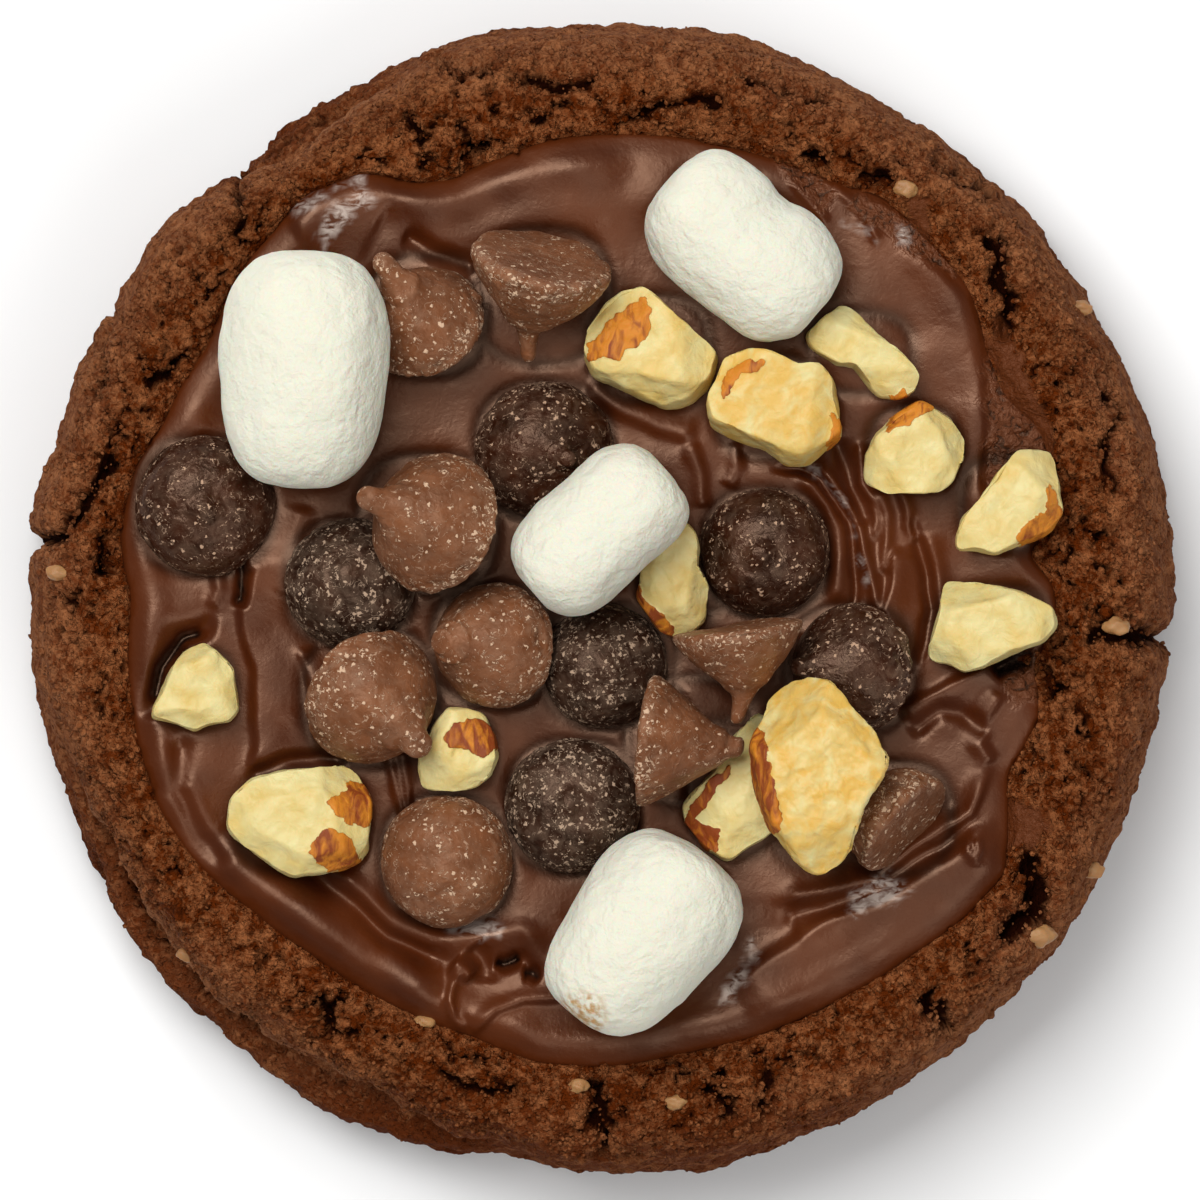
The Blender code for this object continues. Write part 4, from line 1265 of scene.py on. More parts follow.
# Folds, ridges and grooves that the knife left in the spread, and its holes
FOLDS = tuple(Furrow(*row) for row in (
    (0.35, 1.2, 1.6, ((-25, 33.3), (-21.2, 34.5), (-16.7, 33.3), (-13.3, 32.9), (-8.3, 34.6),
     (-3.3, 35.7), (3.3, 36.3))),
    (0.55, 2.6, 2.2, ((-16, 28.6), (-13.3, 29.8), (-7.3, 31.5), (-1.7, 32.7), (4.3, 33.3), (8, 33.2))),
    (-0.8, 0.9, 0.9, ((-16.6, 30.2), (-15.7, 30), (-14.2, 29.2), (-12.1, 28.3), (-10, 27.9))),
    (0.5, 1.8, 2.6, ((-26, 31), (-23.5, 32.5), (-20.5, 32.3), (-18, 31))),
    (0.45, 0.45, 2.2, ((24.4, 31), (26.2, 29), (28.4, 26.8), (30.5, 24.5), (31.3, 22), (31.4, 19),
     (31.6, 15), (31.3, 9.2), (32.1, 5.8))),
    (0.45, 0.6, 0.6, ((16, 10.2), (17.6, 9.5), (18.9, 7.9), (19.7, 6), (20, 3.7), (19.7, 1.3),
     (19.2, -0.5))),
    (-0.75, 0.35, 0.35, ((14, 11), (16.6, 10.8), (18.4, 10), (19.7, 8.2), (20.7, 6.3), (21.1, 3.7),
     (21.2, 0.3), (21, -1.6))),
    (0.7, 0.6, 0.5, ((17.6, 11.4), (18.4, 10.9), (20, 9.2), (21.2, 6.8), (21.8, 4.5), (22.4, 2.4),
     (22.9, 0), (23.9, -2))),
    (-0.65, 0.7, 0.6, ((19.6, 13.6), (19.9, 12.6), (20.6, 10.6), (21.3, 8.2), (21.9, 6))),
    (0.5, 0.5, 0.35, ((21.5, 13.4), (21.6, 11.2), (21.7, 9.7), (22.6, 8.2), (22.9, 6.6), (22.6, 4.8))),
    (0.5, 0.5, 0.4, ((23, 9.4), (23.8, 7.1), (23.8, 4.7), (23.4, 2))),
    (0.55, 0.6, 0.35, ((24, 10.2), (25, 8.7), (25.5, 7.4), (25.5, 6.3), (26.4, 4.6))),
    (0.8, 1.4, 0.35, ((24.6, 4.8), (24.4, 3), (24.2, 1.3), (23.9, -0.8), (24.5, -2.9), (25.5, -4.5),
     (26, -6.4))),
    (-0.7, 0.4, 0.5, ((25.8, 7.2), (26.4, 4.9), (27.2, 1.8), (27.5, -0.8), (27.1, -3.2), (26.2, -6))),
    (0.4, 0.8, 0.5, ((27.2, 5.8), (27.8, 3.4), (28.3, 0.6), (28.2, -2), (27.6, -4))),
    (0.45, 0.5, 0.9, ((7.5, 13.3), (8.3, 10.8), (8.6, 7.5))),
    (0.4, 0.5, 0.9, ((11.2, 13.2), (11.5, 10.8), (10.8, 9.2))),
    (0.5, 1.4, 0.7, ((-1.5, 17.6), (0, 17), (2.5, 15.6), (5, 14.4), (8.3, 13.6))),
    (0.6, 0.5, 1.4, ((24.6, -9.4), (25.4, -9), (27.9, -7.8), (30.9, -6.3), (32.8, -5.2))),
    (-0.6, 0.7, 0.9, ((32.5, -11.2), (30, -9.6), (28.3, -9.3), (26.3, -10.7), (25.6, -11.2))),
    (0.5, 0.5, 1, ((33.4, -7.5), (32.2, -9.4), (31.6, -12), (32.6, -13.8))),
    (0.75, 0.9, 0.45, ((14, -24.9), (18.5, -24.3), (22.8, -23.2), (26.7, -20.1), (30.9, -17.8),
     (31.6, -15.4), (32.5, -13.3))),
    (-0.7, 0.7, 0.7, ((14.6, -26.4), (18.8, -25.7), (23.3, -24.3), (27.4, -21.4), (31.3, -19.2))),
    (0.95, 0.8, 3.2, ((10.5, -33), (11.7, -32.1), (15, -29.3), (19.7, -26.4), (24.3, -23.9),
     (28.6, -21.3), (33.3, -18.5))),
    (-0.4, 1.6, 1.6, ((8.5, -26.5), (11.3, -27), (14.2, -26.8), (16.7, -26.3))),
    (0.45, 0.35, 0.35, ((30.4, -19.8), (30.5, -20.8), (31.2, -21.8), (31.6, -20.8), (31.3, -19.6))),
    (-0.95, 0.8, 0.8, ((-27.5, -20.6), (-25, -22.1), (-23.3, -23.2), (-20.3, -25.2), (-17.6, -27.9),
     (-14.5, -29.5), (-12, -29.8))),
    (0.8, 1.6, 2.4, ((-31, -19), (-28.3, -22.8), (-23.3, -26.5), (-18.4, -29.2), (-14.2, -32.1),
     (-12.5, -32.9))),
    (0.65, 1, 1, ((-22.6, -22), (-21.7, -23), (-17.5, -26.5), (-13.3, -28.5), (-10, -28.3), (-6.7, -27.5),
     (-4, -28.8))),
    (1.25, 0.8, 0.8, ((-12.2, -30), (-11.6, -30.4), (-11.1, -30.8), (-10.6, -31.3))),
    (-0.8, 0.9, 0.9, ((-10.6, -28.6), (-9.8, -29.6), (-9.3, -30.6), (-9.4, -31.8))),
    (0.6, 0.35, 0.45, ((-11.6, -30.6), (-12, -31.6), (-12.4, -33.3), (-12.2, -34.9), (-11, -35.8))),
    (0.6, 0.9, 0.35, ((-11.2, -36.2), (-10.2, -35.6), (-8.6, -34.1), (-6.5, -33.2), (-4.4, -33.1),
     (-2.6, -33))),
    (-0.8, 0.6, 0.6, ((-8.6, -30.2), (-7.8, -30.2), (-6.5, -29.8), (-5.6, -30.6), (-5, -31.2))),
    (0.75, 0.5, 3.2, ((-29.2, -15.2), (-28.3, -12.3), (-28.3, -9.2), (-28.6, -5.7), (-29.5, -2.5),
     (-29.8, 0.8), (-30.4, 4.6))),
    (0.4, 1.3, 0.5, ((-24.8, -3.6), (-24.8, -4.3), (-23.8, -7), (-23.2, -11), (-23, -12))),
    (-0.9, 0.4, 0.4, ((-29.3, 2.8), (-29.4, 2.2), (-29.7, -0.2), (-29.8, -0.8))),
    (0.4, 0.6, 0.6, ((-32.1, 4.6), (-31.5, 0.8), (-32.3, -0.8))),
    (-0.9, 1.1, 1.1, ((-31.6, -2.6), (-33, -2.3), (-35, -3.3), (-36.5, -6.4), (-37.2, -9.2),
     (-37, -10.2))),
    (-0.7, 0.9, 0.9, ((-34.3, -11), (-34.8, -12.4), (-35.2, -15.8), (-33.3, -19.6), (-30.8, -22.5))),
    (-0.8, 0.6, 0.6, ((-29.6, -14.4), (-28.8, -14.3), (-25.8, -13.3), (-23.3, -13), (-20.8, -13.3))),
    (0.35, 0.35, 0.35, ((-17.5, -12.6), (-16.9, -16), (-16.3, -18))),
    (0.35, 0.35, 0.35, ((-16.5, -12.4), (-16, -15.5), (-15.8, -17.5))),
    (0.45, 1, 1, ((-24.6, 8), (-24.8, 7.1), (-25.4, 4.2), (-26.3, 0))),
    (0.3, 0.4, 0.4, ((15, 36.4), (17, 33.5), (19, 31))),
    (0.35, 0.4, 0.4, ((19.5, 34.4), (22.4, 31.4), (23.2, 29.5))),
)) + PITS

# Places where the spread is scraped thin over the dough
COATS = (
    ((31.5, 26), (34.5, 22), (37.5, 15), (38.5, 11), (36, 9), (32.4, 9), (32, 15), (31.8, 20)),
    ((22, 34), (27, 31), (31, 27.5), (29.5, 26.5), (25, 29.5), (20.5, 32.5)),
    ((14.5, 36.5), (17.5, 36.5), (20, 33.5), (18.5, 32.5), (16, 34.5)),
    ((33.5, -1.5), (37, -4), (37.5, -8.5), (34.5, -9), (33, -5.5)),
)

# Places where pale streaky highlights are painted on the spread's surface
PAINTED_HIGHLIGHTS = (
    ((-19.6, 34.4), (-18.9, 33.4), (-21.2, 30.6), (-23, 29.4), (-23.6, 30.4), (-21.8, 33.2)),
    ((-25, 32.6), (-21.6, 34.6), (-20, 35), (-22.8, 33.6), (-25, 32)),
    ((20.8, -24.4), (23.4, -23), (25.9, -23.1), (26.2, -24.4), (23.8, -25.6), (21.2, -26)),
    ((11.9, -29.6), (12.6, -28.2), (13.2, -29.4), (12.4, -31.3), (10.8, -33.2), (9.8, -33.4)),
    ((-12.6, -26.8), (-9.6, -26.4), (-8.2, -27.2), (-9.6, -28), (-12, -27.8)),
    ((20, 31.9), (22.6, 30.8), (22.9, 29.9), (21.4, 30), (19.9, 30.9)),
    ((24.5, 31.3), (25.6, 31.1), (25.5, 29.8), (24.7, 29.8)),
    ((17.4, 11.2), (20.4, 8.6), (21.6, 4.6), (22.2, 1.8), (21.4, 4), (20.6, 7.6)),
)

# The spread's edge stands up as a rounded lip here: direction, height of the lip
LIP = ((0, 0), (120, 0.25), (180, 0.45), (205, 0.6), (260, 0.6), (300, 0.5), (330, 0.1))


@dataclass
class KnifedSpread:
    """The chocolate spread: one sheet over a square grid bent into the spread's outline."""

    pressed: tuple[Footprint, ...]
    cells: int = 300
    overlap: float = 0.5
    swell: float = 0.40
    swell_size: float = 9.0
    dip: float = 0.16
    dip_width: float = 0.62
    squareness: float = 2.6
    fold_wander: float = 0.20
    lip_reach: float = 1.9
    lip_inset: float = 2.2
    lip_width: float = 1.5
    seed: int = 31

    # Share of the rim's distance and height, down to the underside
    skirt: tuple[Point, ...] = ((0.995, RIM_HEIGHT - 0.3), (0.95, 17.3), (0.9, 17.25))

    def __post_init__(self) -> None:
        """Start the noise that the surface is drawn from."""
        self.numbers = Numbers(self.seed)

    def plan(self) -> tuple[Array, Array, Array]:
        """Bend a square grid into the outline.

        Squares about the middle become rings: the ring is the larger of the two coordinates,
        and the place along a side gives the direction.

        Returns:
            X, Y and distance in from the edge, at each point of the grid.
        """
        a, b = np.meshgrid(np.linspace(-1.0, 1.0, self.cells + 1),
                           np.linspace(-1.0, 1.0, self.cells + 1), indexing="ij")
        ring = np.maximum(np.abs(a), np.abs(b))
        safe = np.where(ring == 0.0, 1.0, ring)
        level = np.abs(a) >= np.abs(b)
        turn = np.where(level, np.pi / 4.0 * b / np.where(level, np.where(a == 0, 1.0, a), safe),
                        np.pi / 2.0 - np.pi / 4.0 * a / np.where(b == 0.0, 1.0, b))
        turn = np.where(level & (a < 0.0), turn + np.pi, turn)
        turn = np.where(~level & (b < 0.0), turn + np.pi, turn)
        degrees = np.degrees(turn) % 360.0
        fine = directions(1440)
        edge = np.interp(degrees, fine, around(SPREAD_OUTLINE, fine, 6), period=360)
        edge = edge + self.overlap
        return ring * edge * np.cos(turn), ring * edge * np.sin(turn), edge * (1.0 - ring)

    def level(self, x: Array, y: Array, inside: Array) -> Array:
        """Height of the top: its level, a slow swell, the folds, and a rounded lip.

        At the edge it falls like a quarter circle to where it meets the dough.

        Args:
            x: places across.
            y: places up.
            inside: distance in from the edge.

        Returns:
            The height, in millimetres.
        """
        flat = flat_places(x, y)
        height = SPREAD_HEIGHT + self.swell * self.numbers.layers(flat, self.swell_size, 2)
        height -= self.dip * self.contact(x, y)
        wander = self.fold_wander * self.numbers.layers(flat + 50.0, 4.2, 2)
        for fold in FOLDS:
            height += fold.relief(x, y, wander)
        height += self.region(x, y, COATS) * (0.30 * self.numbers.layers(flat + 90.0, 1.8, 3) - 0.4)
        lip = around(LIP, np.degrees(np.arctan2(y, x)))
        height += lip * np.exp(-((inside - self.lip_inset) / self.lip_width) ** 2)
        edge = RIM_HEIGHT + 0.35
        rounding = np.sqrt(1.0 - (1.0 - np.clip(inside / self.lip_reach, 0.0, 1.0)) ** 2)
        return edge + (height - edge) * rounding

    def contact(self, x: Array, y: Array) -> Array:
        """How near each place is to a topping's edge: a bell across the edge of its oval.

        Args:
            x: places across.
            y: places up.

        Returns:
            The nearness, from 0 to 1.
        """
        near = np.zeros_like(x)
        for middle_x, middle_y, long, wide, heading in self.pressed:
            turn = math.radians(heading)
            along = (x - middle_x) * math.cos(turn) + (y - middle_y) * math.sin(turn)
            across = (y - middle_y) * math.cos(turn) - (x - middle_x) * math.sin(turn)
            power = self.squareness
            oval = (np.abs(along / long) ** power + np.abs(across / wide) ** power) ** (1.0 / power)
            beyond = (oval - 1.0) * min(long, wide) + 0.2
            near = np.maximum(near, np.exp(-(beyond / self.dip_width) ** 2))
        return near

    def region(self, x: Array, y: Array, outlines: Outlines) -> Array:
        """Share of each place that lies in any of some outlines, with ragged edges."""
        ragged = 0.8 * self.numbers.layers(flat_places(x, y) + 15.0, 1.8, 3)
        return share_inside(x, y, outlines, ragged, -0.4, 0.7)

    def closed(self, x: Array, y: Array, top: Array) -> tuple[Array, list[Array]]:
        """Hang a skirt from the sheet's rim and close it below with a fan of triangles.

        Args:
            x: places across.
            y: places up.
            top: height of the sheet.

        Returns:
            The points, the sheet's own first, and the blocks of faces.
        """
        index = np.arange(top.size).reshape(top.shape)
        quads = np.stack((index[:-1, :-1], index[1:, :-1], index[1:, 1:], index[:-1, 1:]), axis=-1)
        rim = np.concatenate((index[:-1, 0], index[-1, :-1], index[:0:-1, -1], index[0, :0:-1]))
        rim_x, rim_y = x.ravel()[rim], y.ravel()[rim]
        blocks = [np.column_stack((x.ravel(), y.ravel(), top.ravel()))]
        faces = [quads.reshape(-1, 4)]
        above = rim
        for share, height in self.skirt:
            ring = sum(len(block) for block in blocks) + np.arange(len(rim))
            blocks.append(np.column_stack((rim_x * share, rim_y * share,
                                           np.full(len(rim), height))))
            faces.append(np.stack((ring, np.roll(ring, -1), np.roll(above, -1), above), axis=-1))
            above = ring
        centre = sum(len(block) for block in blocks)
        blocks.append(np.array([[0.0, 0.0, self.skirt[-1][1]]]))
        faces.append(np.column_stack((np.roll(above, -1), above, np.full(len(above), centre))))
        return np.vstack(blocks), faces

    def build(self) -> None:
        """Shape the sheet, close it, and dress it."""
        x, y, inside = self.plan()
        points, faces = self.closed(x, y, self.level(x, y, inside))
        pits = sum(-fold.relief(x, y) for fold in PITS)
        # Painted shade mark: the holes, and a contact shadow round each topping's edge
        deep = np.maximum(ease(pits, 0.5, 1.1), 0.70 * self.contact(x, y))
        shown = {"thin": ease(1.6 - inside, 0.0, 1.6), "deep": deep,
                 "coat": self.region(x, y, COATS), "painted_highlight": self.region(x, y, PAINTED_HIGHLIGHTS)}
        hidden = np.zeros(len(points) - x.size)
        marks = {name: np.append(values.ravel(), hidden) for name, values in shown.items()}
        piece = make_piece("spread_knifed", points, faces, SpreadFinish().material(), marks)
        hand_over(piece, "spread")


def turn_about(points: Array, turn: Euler) -> Array:
    """Turn points about the origin."""
    return points @ np.array(turn.to_matrix()).T


class Chocolate(Enum):
    """The kinds of chip, each with its own finish."""

    MILK = ChipFinish("milk_chocolate_chip", (0.130, 0.044, 0.017), (0.205, 0.073, 0.029),
                      (0.66, 0.45, 0.30), 0.32)
    DARK = ChipFinish("dark_chocolate_chip", (0.015, 0.0038, 0.0014), (0.038, 0.0100, 0.0038),
                      (0.50, 0.32, 0.21), 0.33, 0.30)
    DUSTY = ChipFinish("dusty_chocolate_chip", (0.013, 0.0045, 0.0022), (0.036, 0.0140, 0.0075),
                       (0.46, 0.32, 0.22), 0.52, 0.36)


@dataclass
class MouldedChip:
    """A drop-shaped chip: a dome or a cone whose tip is drawn out and bent over.

    Blunt is 0 for a round drop, 1 for a low dome and -1 for a straight cone. The stem is the
    share of the height that the tip takes, thick its radius as a share of the chip's, hook how
    far in millimetres it bends over and swing in which direction about the chip's own axis. A
    knob on a dome is a height and a place.
    """

    node: str
    kind: Chocolate
    diameter: float
    height: float
    heading: float
    tilt: float
    blunt: float = 0.0
    stem: float = 0.0
    thick: float = 0.16
    hook: float = 0.0
    swing: float = 0.0
    knob: Triple | None = None
    columns: int = 128

    # Share of the radius and of the height, from the base's rim up
    drop: tuple[Point, ...] = ((0.90, 0.0), (0.99, 0.04), (1.0, 0.14), (0.96, 0.34), (0.85, 0.54),
                               (0.68, 0.72), (0.50, 0.86), (0.38, 0.95))
    dome: tuple[Point, ...] = ((0.90, 0.0), (0.98, 0.05), (1.0, 0.18), (0.96, 0.44), (0.82, 0.70),
                               (0.54, 0.90), (0.24, 0.985), (0.08, 1.0))
    cone: tuple[Point, ...] = ((0.90, 0.0), (0.99, 0.03), (1.0, 0.11), (0.90, 0.26), (0.76, 0.44),
                               (0.60, 0.62), (0.45, 0.78), (0.34, 0.92))
    tip: tuple[Point, ...] = ((1.6, 0.08), (1.2, 0.32), (1.0, 0.60), (0.88, 0.84), (0.50, 0.98),
                              (0.15, 1.0))
    side_rings: int = 60
    base_rings: int = 7
    curl: float = 0.2
    dent: float = 0.20
    scuff: float = 0.06
    nick: float = 0.35

    def footprint(self) -> Footprint:
        """Round patch that the chip covers in plan."""
        return footprint_of(self.node, self.diameter * 0.5, self.diameter * 0.5, 0.0)

    def profile(self) -> tuple[Array, Array]:
        """Radius and height along the side, as shares, with the flat base's rings first.

        Returns:
            Share of the radius and share of the height of each ring.
        """
        other = self.dome if self.blunt > 0.0 else self.cone
        share = abs(self.blunt)
        mixed = np.array(self.drop) * (1.0 - share) + np.array(other) * share
        start = 1.0 - self.stem
        mixed[:, 1] *= start
        if self.stem:
            rows = [(wide * self.thick, start + high * self.stem) for wide, high in self.tip]
            mixed = np.vstack((mixed, rows))
        side = curve_rows(mixed, np.linspace(0.0, len(mixed) - 1.0, self.side_rings))
        base = np.column_stack((np.linspace(0.06, 0.86, self.base_rings),
                                np.zeros(self.base_rings)))
        rings = np.vstack((base, side))
        return np.maximum(rings[:, 0], 0.012), np.clip(rings[:, 1], 0.0, 1.02)

    def surface(self, share: Array, level: Array) -> Array:
        """Turn the profile about a middle line that bends over towards +X as it rises.

        Args:
            share: share of the radius.
            level: share of the height.

        Returns:
            X, Y and Z in rings of points, from the base up.
        """
        radius = self.diameter / 2.0
        turn = turns(self.columns)
        bend = self.curl * (1.0 - abs(self.blunt)) * radius * level ** 3
        reach = self.hook * ease(level, 0.86 - self.stem, 1.05) ** 1.2
        bend += reach * math.cos(math.radians(self.swing))
        aside = reach * math.sin(math.radians(self.swing))
        wide = (share * radius)[:, None]
        return np.stack((wide * np.cos(turn) + bend[:, None],
                         wide * np.sin(turn) + aside[:, None],
                         level[:, None] * self.height * np.ones_like(turn)), axis=-1)

    def worn(self, points: Array, share: Array, level: Array) -> tuple[Array, Array]:
        """Dent and scuff the surface and nick its rim.

        Args:
            points: the smooth chip.
            share: share of the radius.
            level: share of the height.

        Returns:
            The worn points, and how worn the edges are in each ring.
        """
        numbers = Numbers(sum(map(ord, self.node)))
        relief = self.dent * numbers.layers(points, 4.2, 2)
        relief += self.scuff * numbers.layers(points + 30.0, 1.1, 3)
        edge = np.exp(-((share - 0.985) / 0.08) ** 2) * (level < 0.45)
        nicks = np.maximum(numbers.layers(points + 60.0, 1.2, 3), 0.0)
        relief -= self.nick * edge[:, None] * nicks
        fade = ease(share, 0.02, 0.3)[:, None]
        points = pushed_out(points, relief * fade)
        if self.knob is not None:
            height, x, y = self.knob
            away = np.hypot(points[..., 0] - x, (points[..., 1] - y) * 1.2)
            bump = np.exp(-(away / 0.85) ** 2) - 0.22 * np.exp(-((away - 1.7) / 0.5) ** 2)
            points[..., 2] += height * bump * ease(level, 0.5, 0.8)[:, None]
        return points, np.clip(edge + 0.2 * ease(level, 0.80, 1.0) * (self.stem > 0.0), 0.0, 1.0)

    def build(self) -> None:
        """Shape the chip, set it in place where its solid is, and dress it."""
        share, level = self.profile()
        smooth = self.surface(share, level)
        points, wear = self.worn(smooth, share, level)
        turn = Euler((0.0, math.radians(self.tilt), math.radians(self.heading)))
        step = step_to(turn_about(smooth.reshape(-1, 3), turn), self.node)
        marks = {"wear": np.append(np.repeat(wear, self.columns), (0.0, 0.5))}
        piece = make_piece(f"{self.node}_moulded", turn_about(with_poles(points), turn) + step,
                           wrapped_faces(len(share), self.columns), FINISHES[self.kind], marks)
        hand_over(piece, self.node)


@dataclass
class PuffedMarshmallow:
    """A lying marshmallow: a squarish oval turned about its own X axis, pinched and wrinkled."""

    node: str
    width: float
    length: float
    heading: float
    rise: float = 0.0
    taper: float = 0.0
    waist: float = 0.0
    pinch: float = 0.0
    pinch_side: float = 0.0
    smudge: Triple | None = None
    corner: float = 0.62
    rows: int = 128
    columns: int = 168
    dent: float = 0.30
    wrinkle: float = 0.085

    def footprint(self) -> Footprint:
        """Oval patch that the marshmallow touches in plan."""
        return footprint_of(self.node, self.length * 0.46, self.width * 0.40, self.heading)

    def shape(self) -> Array:
        """Rings of the marshmallow about its own X axis, wrinkled.

        The radius and the distance along the axis are powers of the sine and the cosine of
        one angle. A waist or a taper draws the radius in all round, and a pinch on one side.

        Returns:
            X, Y and Z in rings of points, from end to end.
        """
        sweep = np.linspace(0.0, math.pi, self.rows + 2)[1:-1][::-1]
        ends_in = np.sin(sweep)
        along = np.sign(np.cos(sweep)) * np.abs(np.cos(sweep)) ** self.corner
        radius = self.width / 2.0 * ends_in ** self.corner
        radius *= 1.0 + self.taper * along - self.waist * np.exp(-(along / 0.45) ** 2)
        turn = turns(self.columns)
        facing = 0.5 + 0.5 * np.cos(turn - math.radians(self.pinch_side))
        wide = radius[:, None] * (
            1.0 - self.pinch * np.exp(-(along / 0.2) ** 2)[:, None] * facing ** 2)
        points = np.stack((np.repeat(along[:, None] * self.length / 2.0, self.columns, axis=1),
                           wide * np.cos(turn), wide * np.sin(turn)), axis=-1)
        numbers = Numbers(sum(map(ord, self.node)) + 5)
        relief = self.dent * numbers.layers(points, 6.5, 2)
        folded = 1.0 - np.abs(numbers.layers(points * np.array([0.8, 1.0, 1.0]) + 20.0, 2.3, 2))
        relief += self.wrinkle * 1.3 * (folded - 0.7)
        return pushed_out(points, relief * ease(ends_in, 0.02, 0.25)[:, None])

    def build(self) -> None:
        """Shape the marshmallow, set it in place where its solid is, and dress it."""
        turned = turn_about(with_poles(self.shape()),
                            Euler((0.0, math.radians(-self.rise), math.radians(self.heading))))
        placed = turned + step_to(turned, self.node)
        stained = np.zeros(len(placed))
        if self.smudge is not None:
            x, y, reach = self.smudge
            stained = ease(reach - np.hypot(placed[:, 0] - x, placed[:, 1] - y), 0.0, reach * 0.5)
        piece = make_piece(f"{self.node}_puffed", placed, wrapped_faces(self.rows, self.columns),
                           FINISHES["marshmallow"], {"smudge": stained})
        hand_over(piece, self.node)


@dataclass
class ChoppedAlmond:
    """A chopped piece of almond: its outline drawn in below, then cut off by slanting faces.

    Each cut is a direction, how far out it starts and how steeply it falls.
    """

    node: str
    thickness: float
    lean: Point
    slope: Point
    outline: tuple[Point, ...]
    cuts: tuple[Triple, ...] = ()
    skins: Outlines = ()
    toast: float = 0.2
    browning: float = 0.1
    columns: int = 150
    rings: tuple[Point, ...] = ((0.78, 0.0), (1.0, 0.30), (0.995, 0.78), (0.95, 0.99))
    steps: tuple[int, ...] = (8, 9, 6)
    under_rings: int = 7
    inner_rings: int = 38
    facets: int = 6
    dent: float = 0.24
    crumble: float = 0.07
    skin_depth: float = 0.10
    soften: float = 0.5

    def footprint(self) -> Footprint:
        """Oval patch that the almond covers in plan."""
        across, up = np.ptp(np.array(self.outline), axis=0)
        return footprint_of(self.node, across * 0.47, up * 0.47, 0.0)

    def outline_radius(self, turn: Array, corners: Array) -> Array:
        """Distance from the middle to the outline: where a ray crosses one of its sides.

        Args:
            turn: directions, in radians.
            corners: the outline about its middle.

        Returns:
            The distance in each direction, rounded a little.
        """
        following = np.roll(corners, -1, axis=0)
        side = following - corners
        way = np.stack((np.cos(turn), np.sin(turn)), axis=-1)[:, None]
        across = way[..., 0] * side[:, 1] - way[..., 1] * side[:, 0]
        across = np.where(np.abs(across) < 1e-9, 1e-9, across)
        reach = (corners[:, 0] * side[:, 1] - corners[:, 1] * side[:, 0]) / across
        place = (corners[:, 0] * way[..., 1] - corners[:, 1] * way[..., 0]) / across
        met = (place >= -1e-6) & (place <= 1.0 + 1e-6) & (reach > 0.0)
        radius = np.where(met, reach, -1.0).max(axis=1)
        shifted = [np.roll(radius, step) for step in (-2, -1, 0, 1, 2)]
        return np.average(shifted, axis=0, weights=(1, 2, 3, 2, 1))

    def rows(self) -> Array:
        """Share of the outline and of the height, from under the piece to its top's middle.

        Returns:
            The two shares of each ring.
        """
        side = curve_rows(np.array(self.rings), even_places(np.zeros(3), np.array(self.steps)))
        under = np.column_stack((np.linspace(0.08, 0.72, self.under_rings),
                                 np.zeros(self.under_rings)))
        over = np.column_stack((np.linspace(0.92, 0.03, self.inner_rings),
                                np.ones(self.inner_rings)))
        return np.vstack((under, side, over))

    def cut_height(self, x: Array, y: Array, level: Array, radius: Array) -> Array:
        """Height at each place once the slanting faces are cut off the top.

        Args:
            x: places across.
            y: places up.
            level: share of the height.
            radius: distance to the outline.

        Returns:
            The height, in millimetres.
        """
        height = self.thickness * level * (1.0 + x * self.slope[0] + y * self.slope[1])
        for heading, start, fall in self.cuts:
            out = x * math.cos(math.radians(heading)) + y * math.sin(math.radians(heading))
            cut = self.thickness - fall * np.maximum(out - start, 0.0)
            height = lower_of(height, cut, self.soften)
        height = lower_of(height, self._chamfers(x, y, radius, level), self.soften)
        return np.maximum(height, self.thickness * 0.3 * (level > 0.3) * level)

    def build(self) -> None:
        """Work out the rings, cut the top, crumble the surface, and set it in place."""
        corners = np.array(self.outline)
        middle = (corners.min(axis=0) + corners.max(axis=0)) / 2.0
        turn = turns(self.columns)
        radius = self.outline_radius(turn, corners - middle)
        rings = self.rows()
        share, level = rings[:, :1], np.clip(rings[:, 1:], 0.0, 1.0)
        lean = np.maximum(level - 0.34, 0.0)
        x = share * radius * np.cos(turn) + self.lean[0] * lean
        y = share * radius * np.sin(turn) + self.lean[1] * lean
        points = np.stack((x, y, self.cut_height(x, y, level, radius)), axis=-1)
        numbers = Numbers(sum(map(ord, self.node)) + 3)
        relief = self.dent * numbers.layers(points, 3.2, 2)
        relief += self.crumble * (0.8 - np.abs(numbers.layers(points + 12.0, 1.3, 2)))
        ragged = 0.25 * numbers.layers(points + 33.0, 0.9, 2)
        skin = (level > 0.2) * share_inside(x + middle[0], y + middle[1], self.skins, ragged,
                                            -0.15, 0.15)
        relief += self.skin_depth * ease(skin, 0.4, 0.6)
        flat = with_poles(pushed_out(points, relief * ease(share, 0.03, 0.2)))
        marks = {"skin": np.append(skin.ravel(), (0.0, 0.0)),
                 "toast": np.full(len(flat), self.toast),
                 "browning": np.full(len(flat), self.browning)}
        piece = make_piece(f"{self.node}_chopped", flat + step_to(flat, self.node),
                           wrapped_faces(len(rings), self.columns), FINISHES["almond"], marks)
        hand_over(piece, self.node)

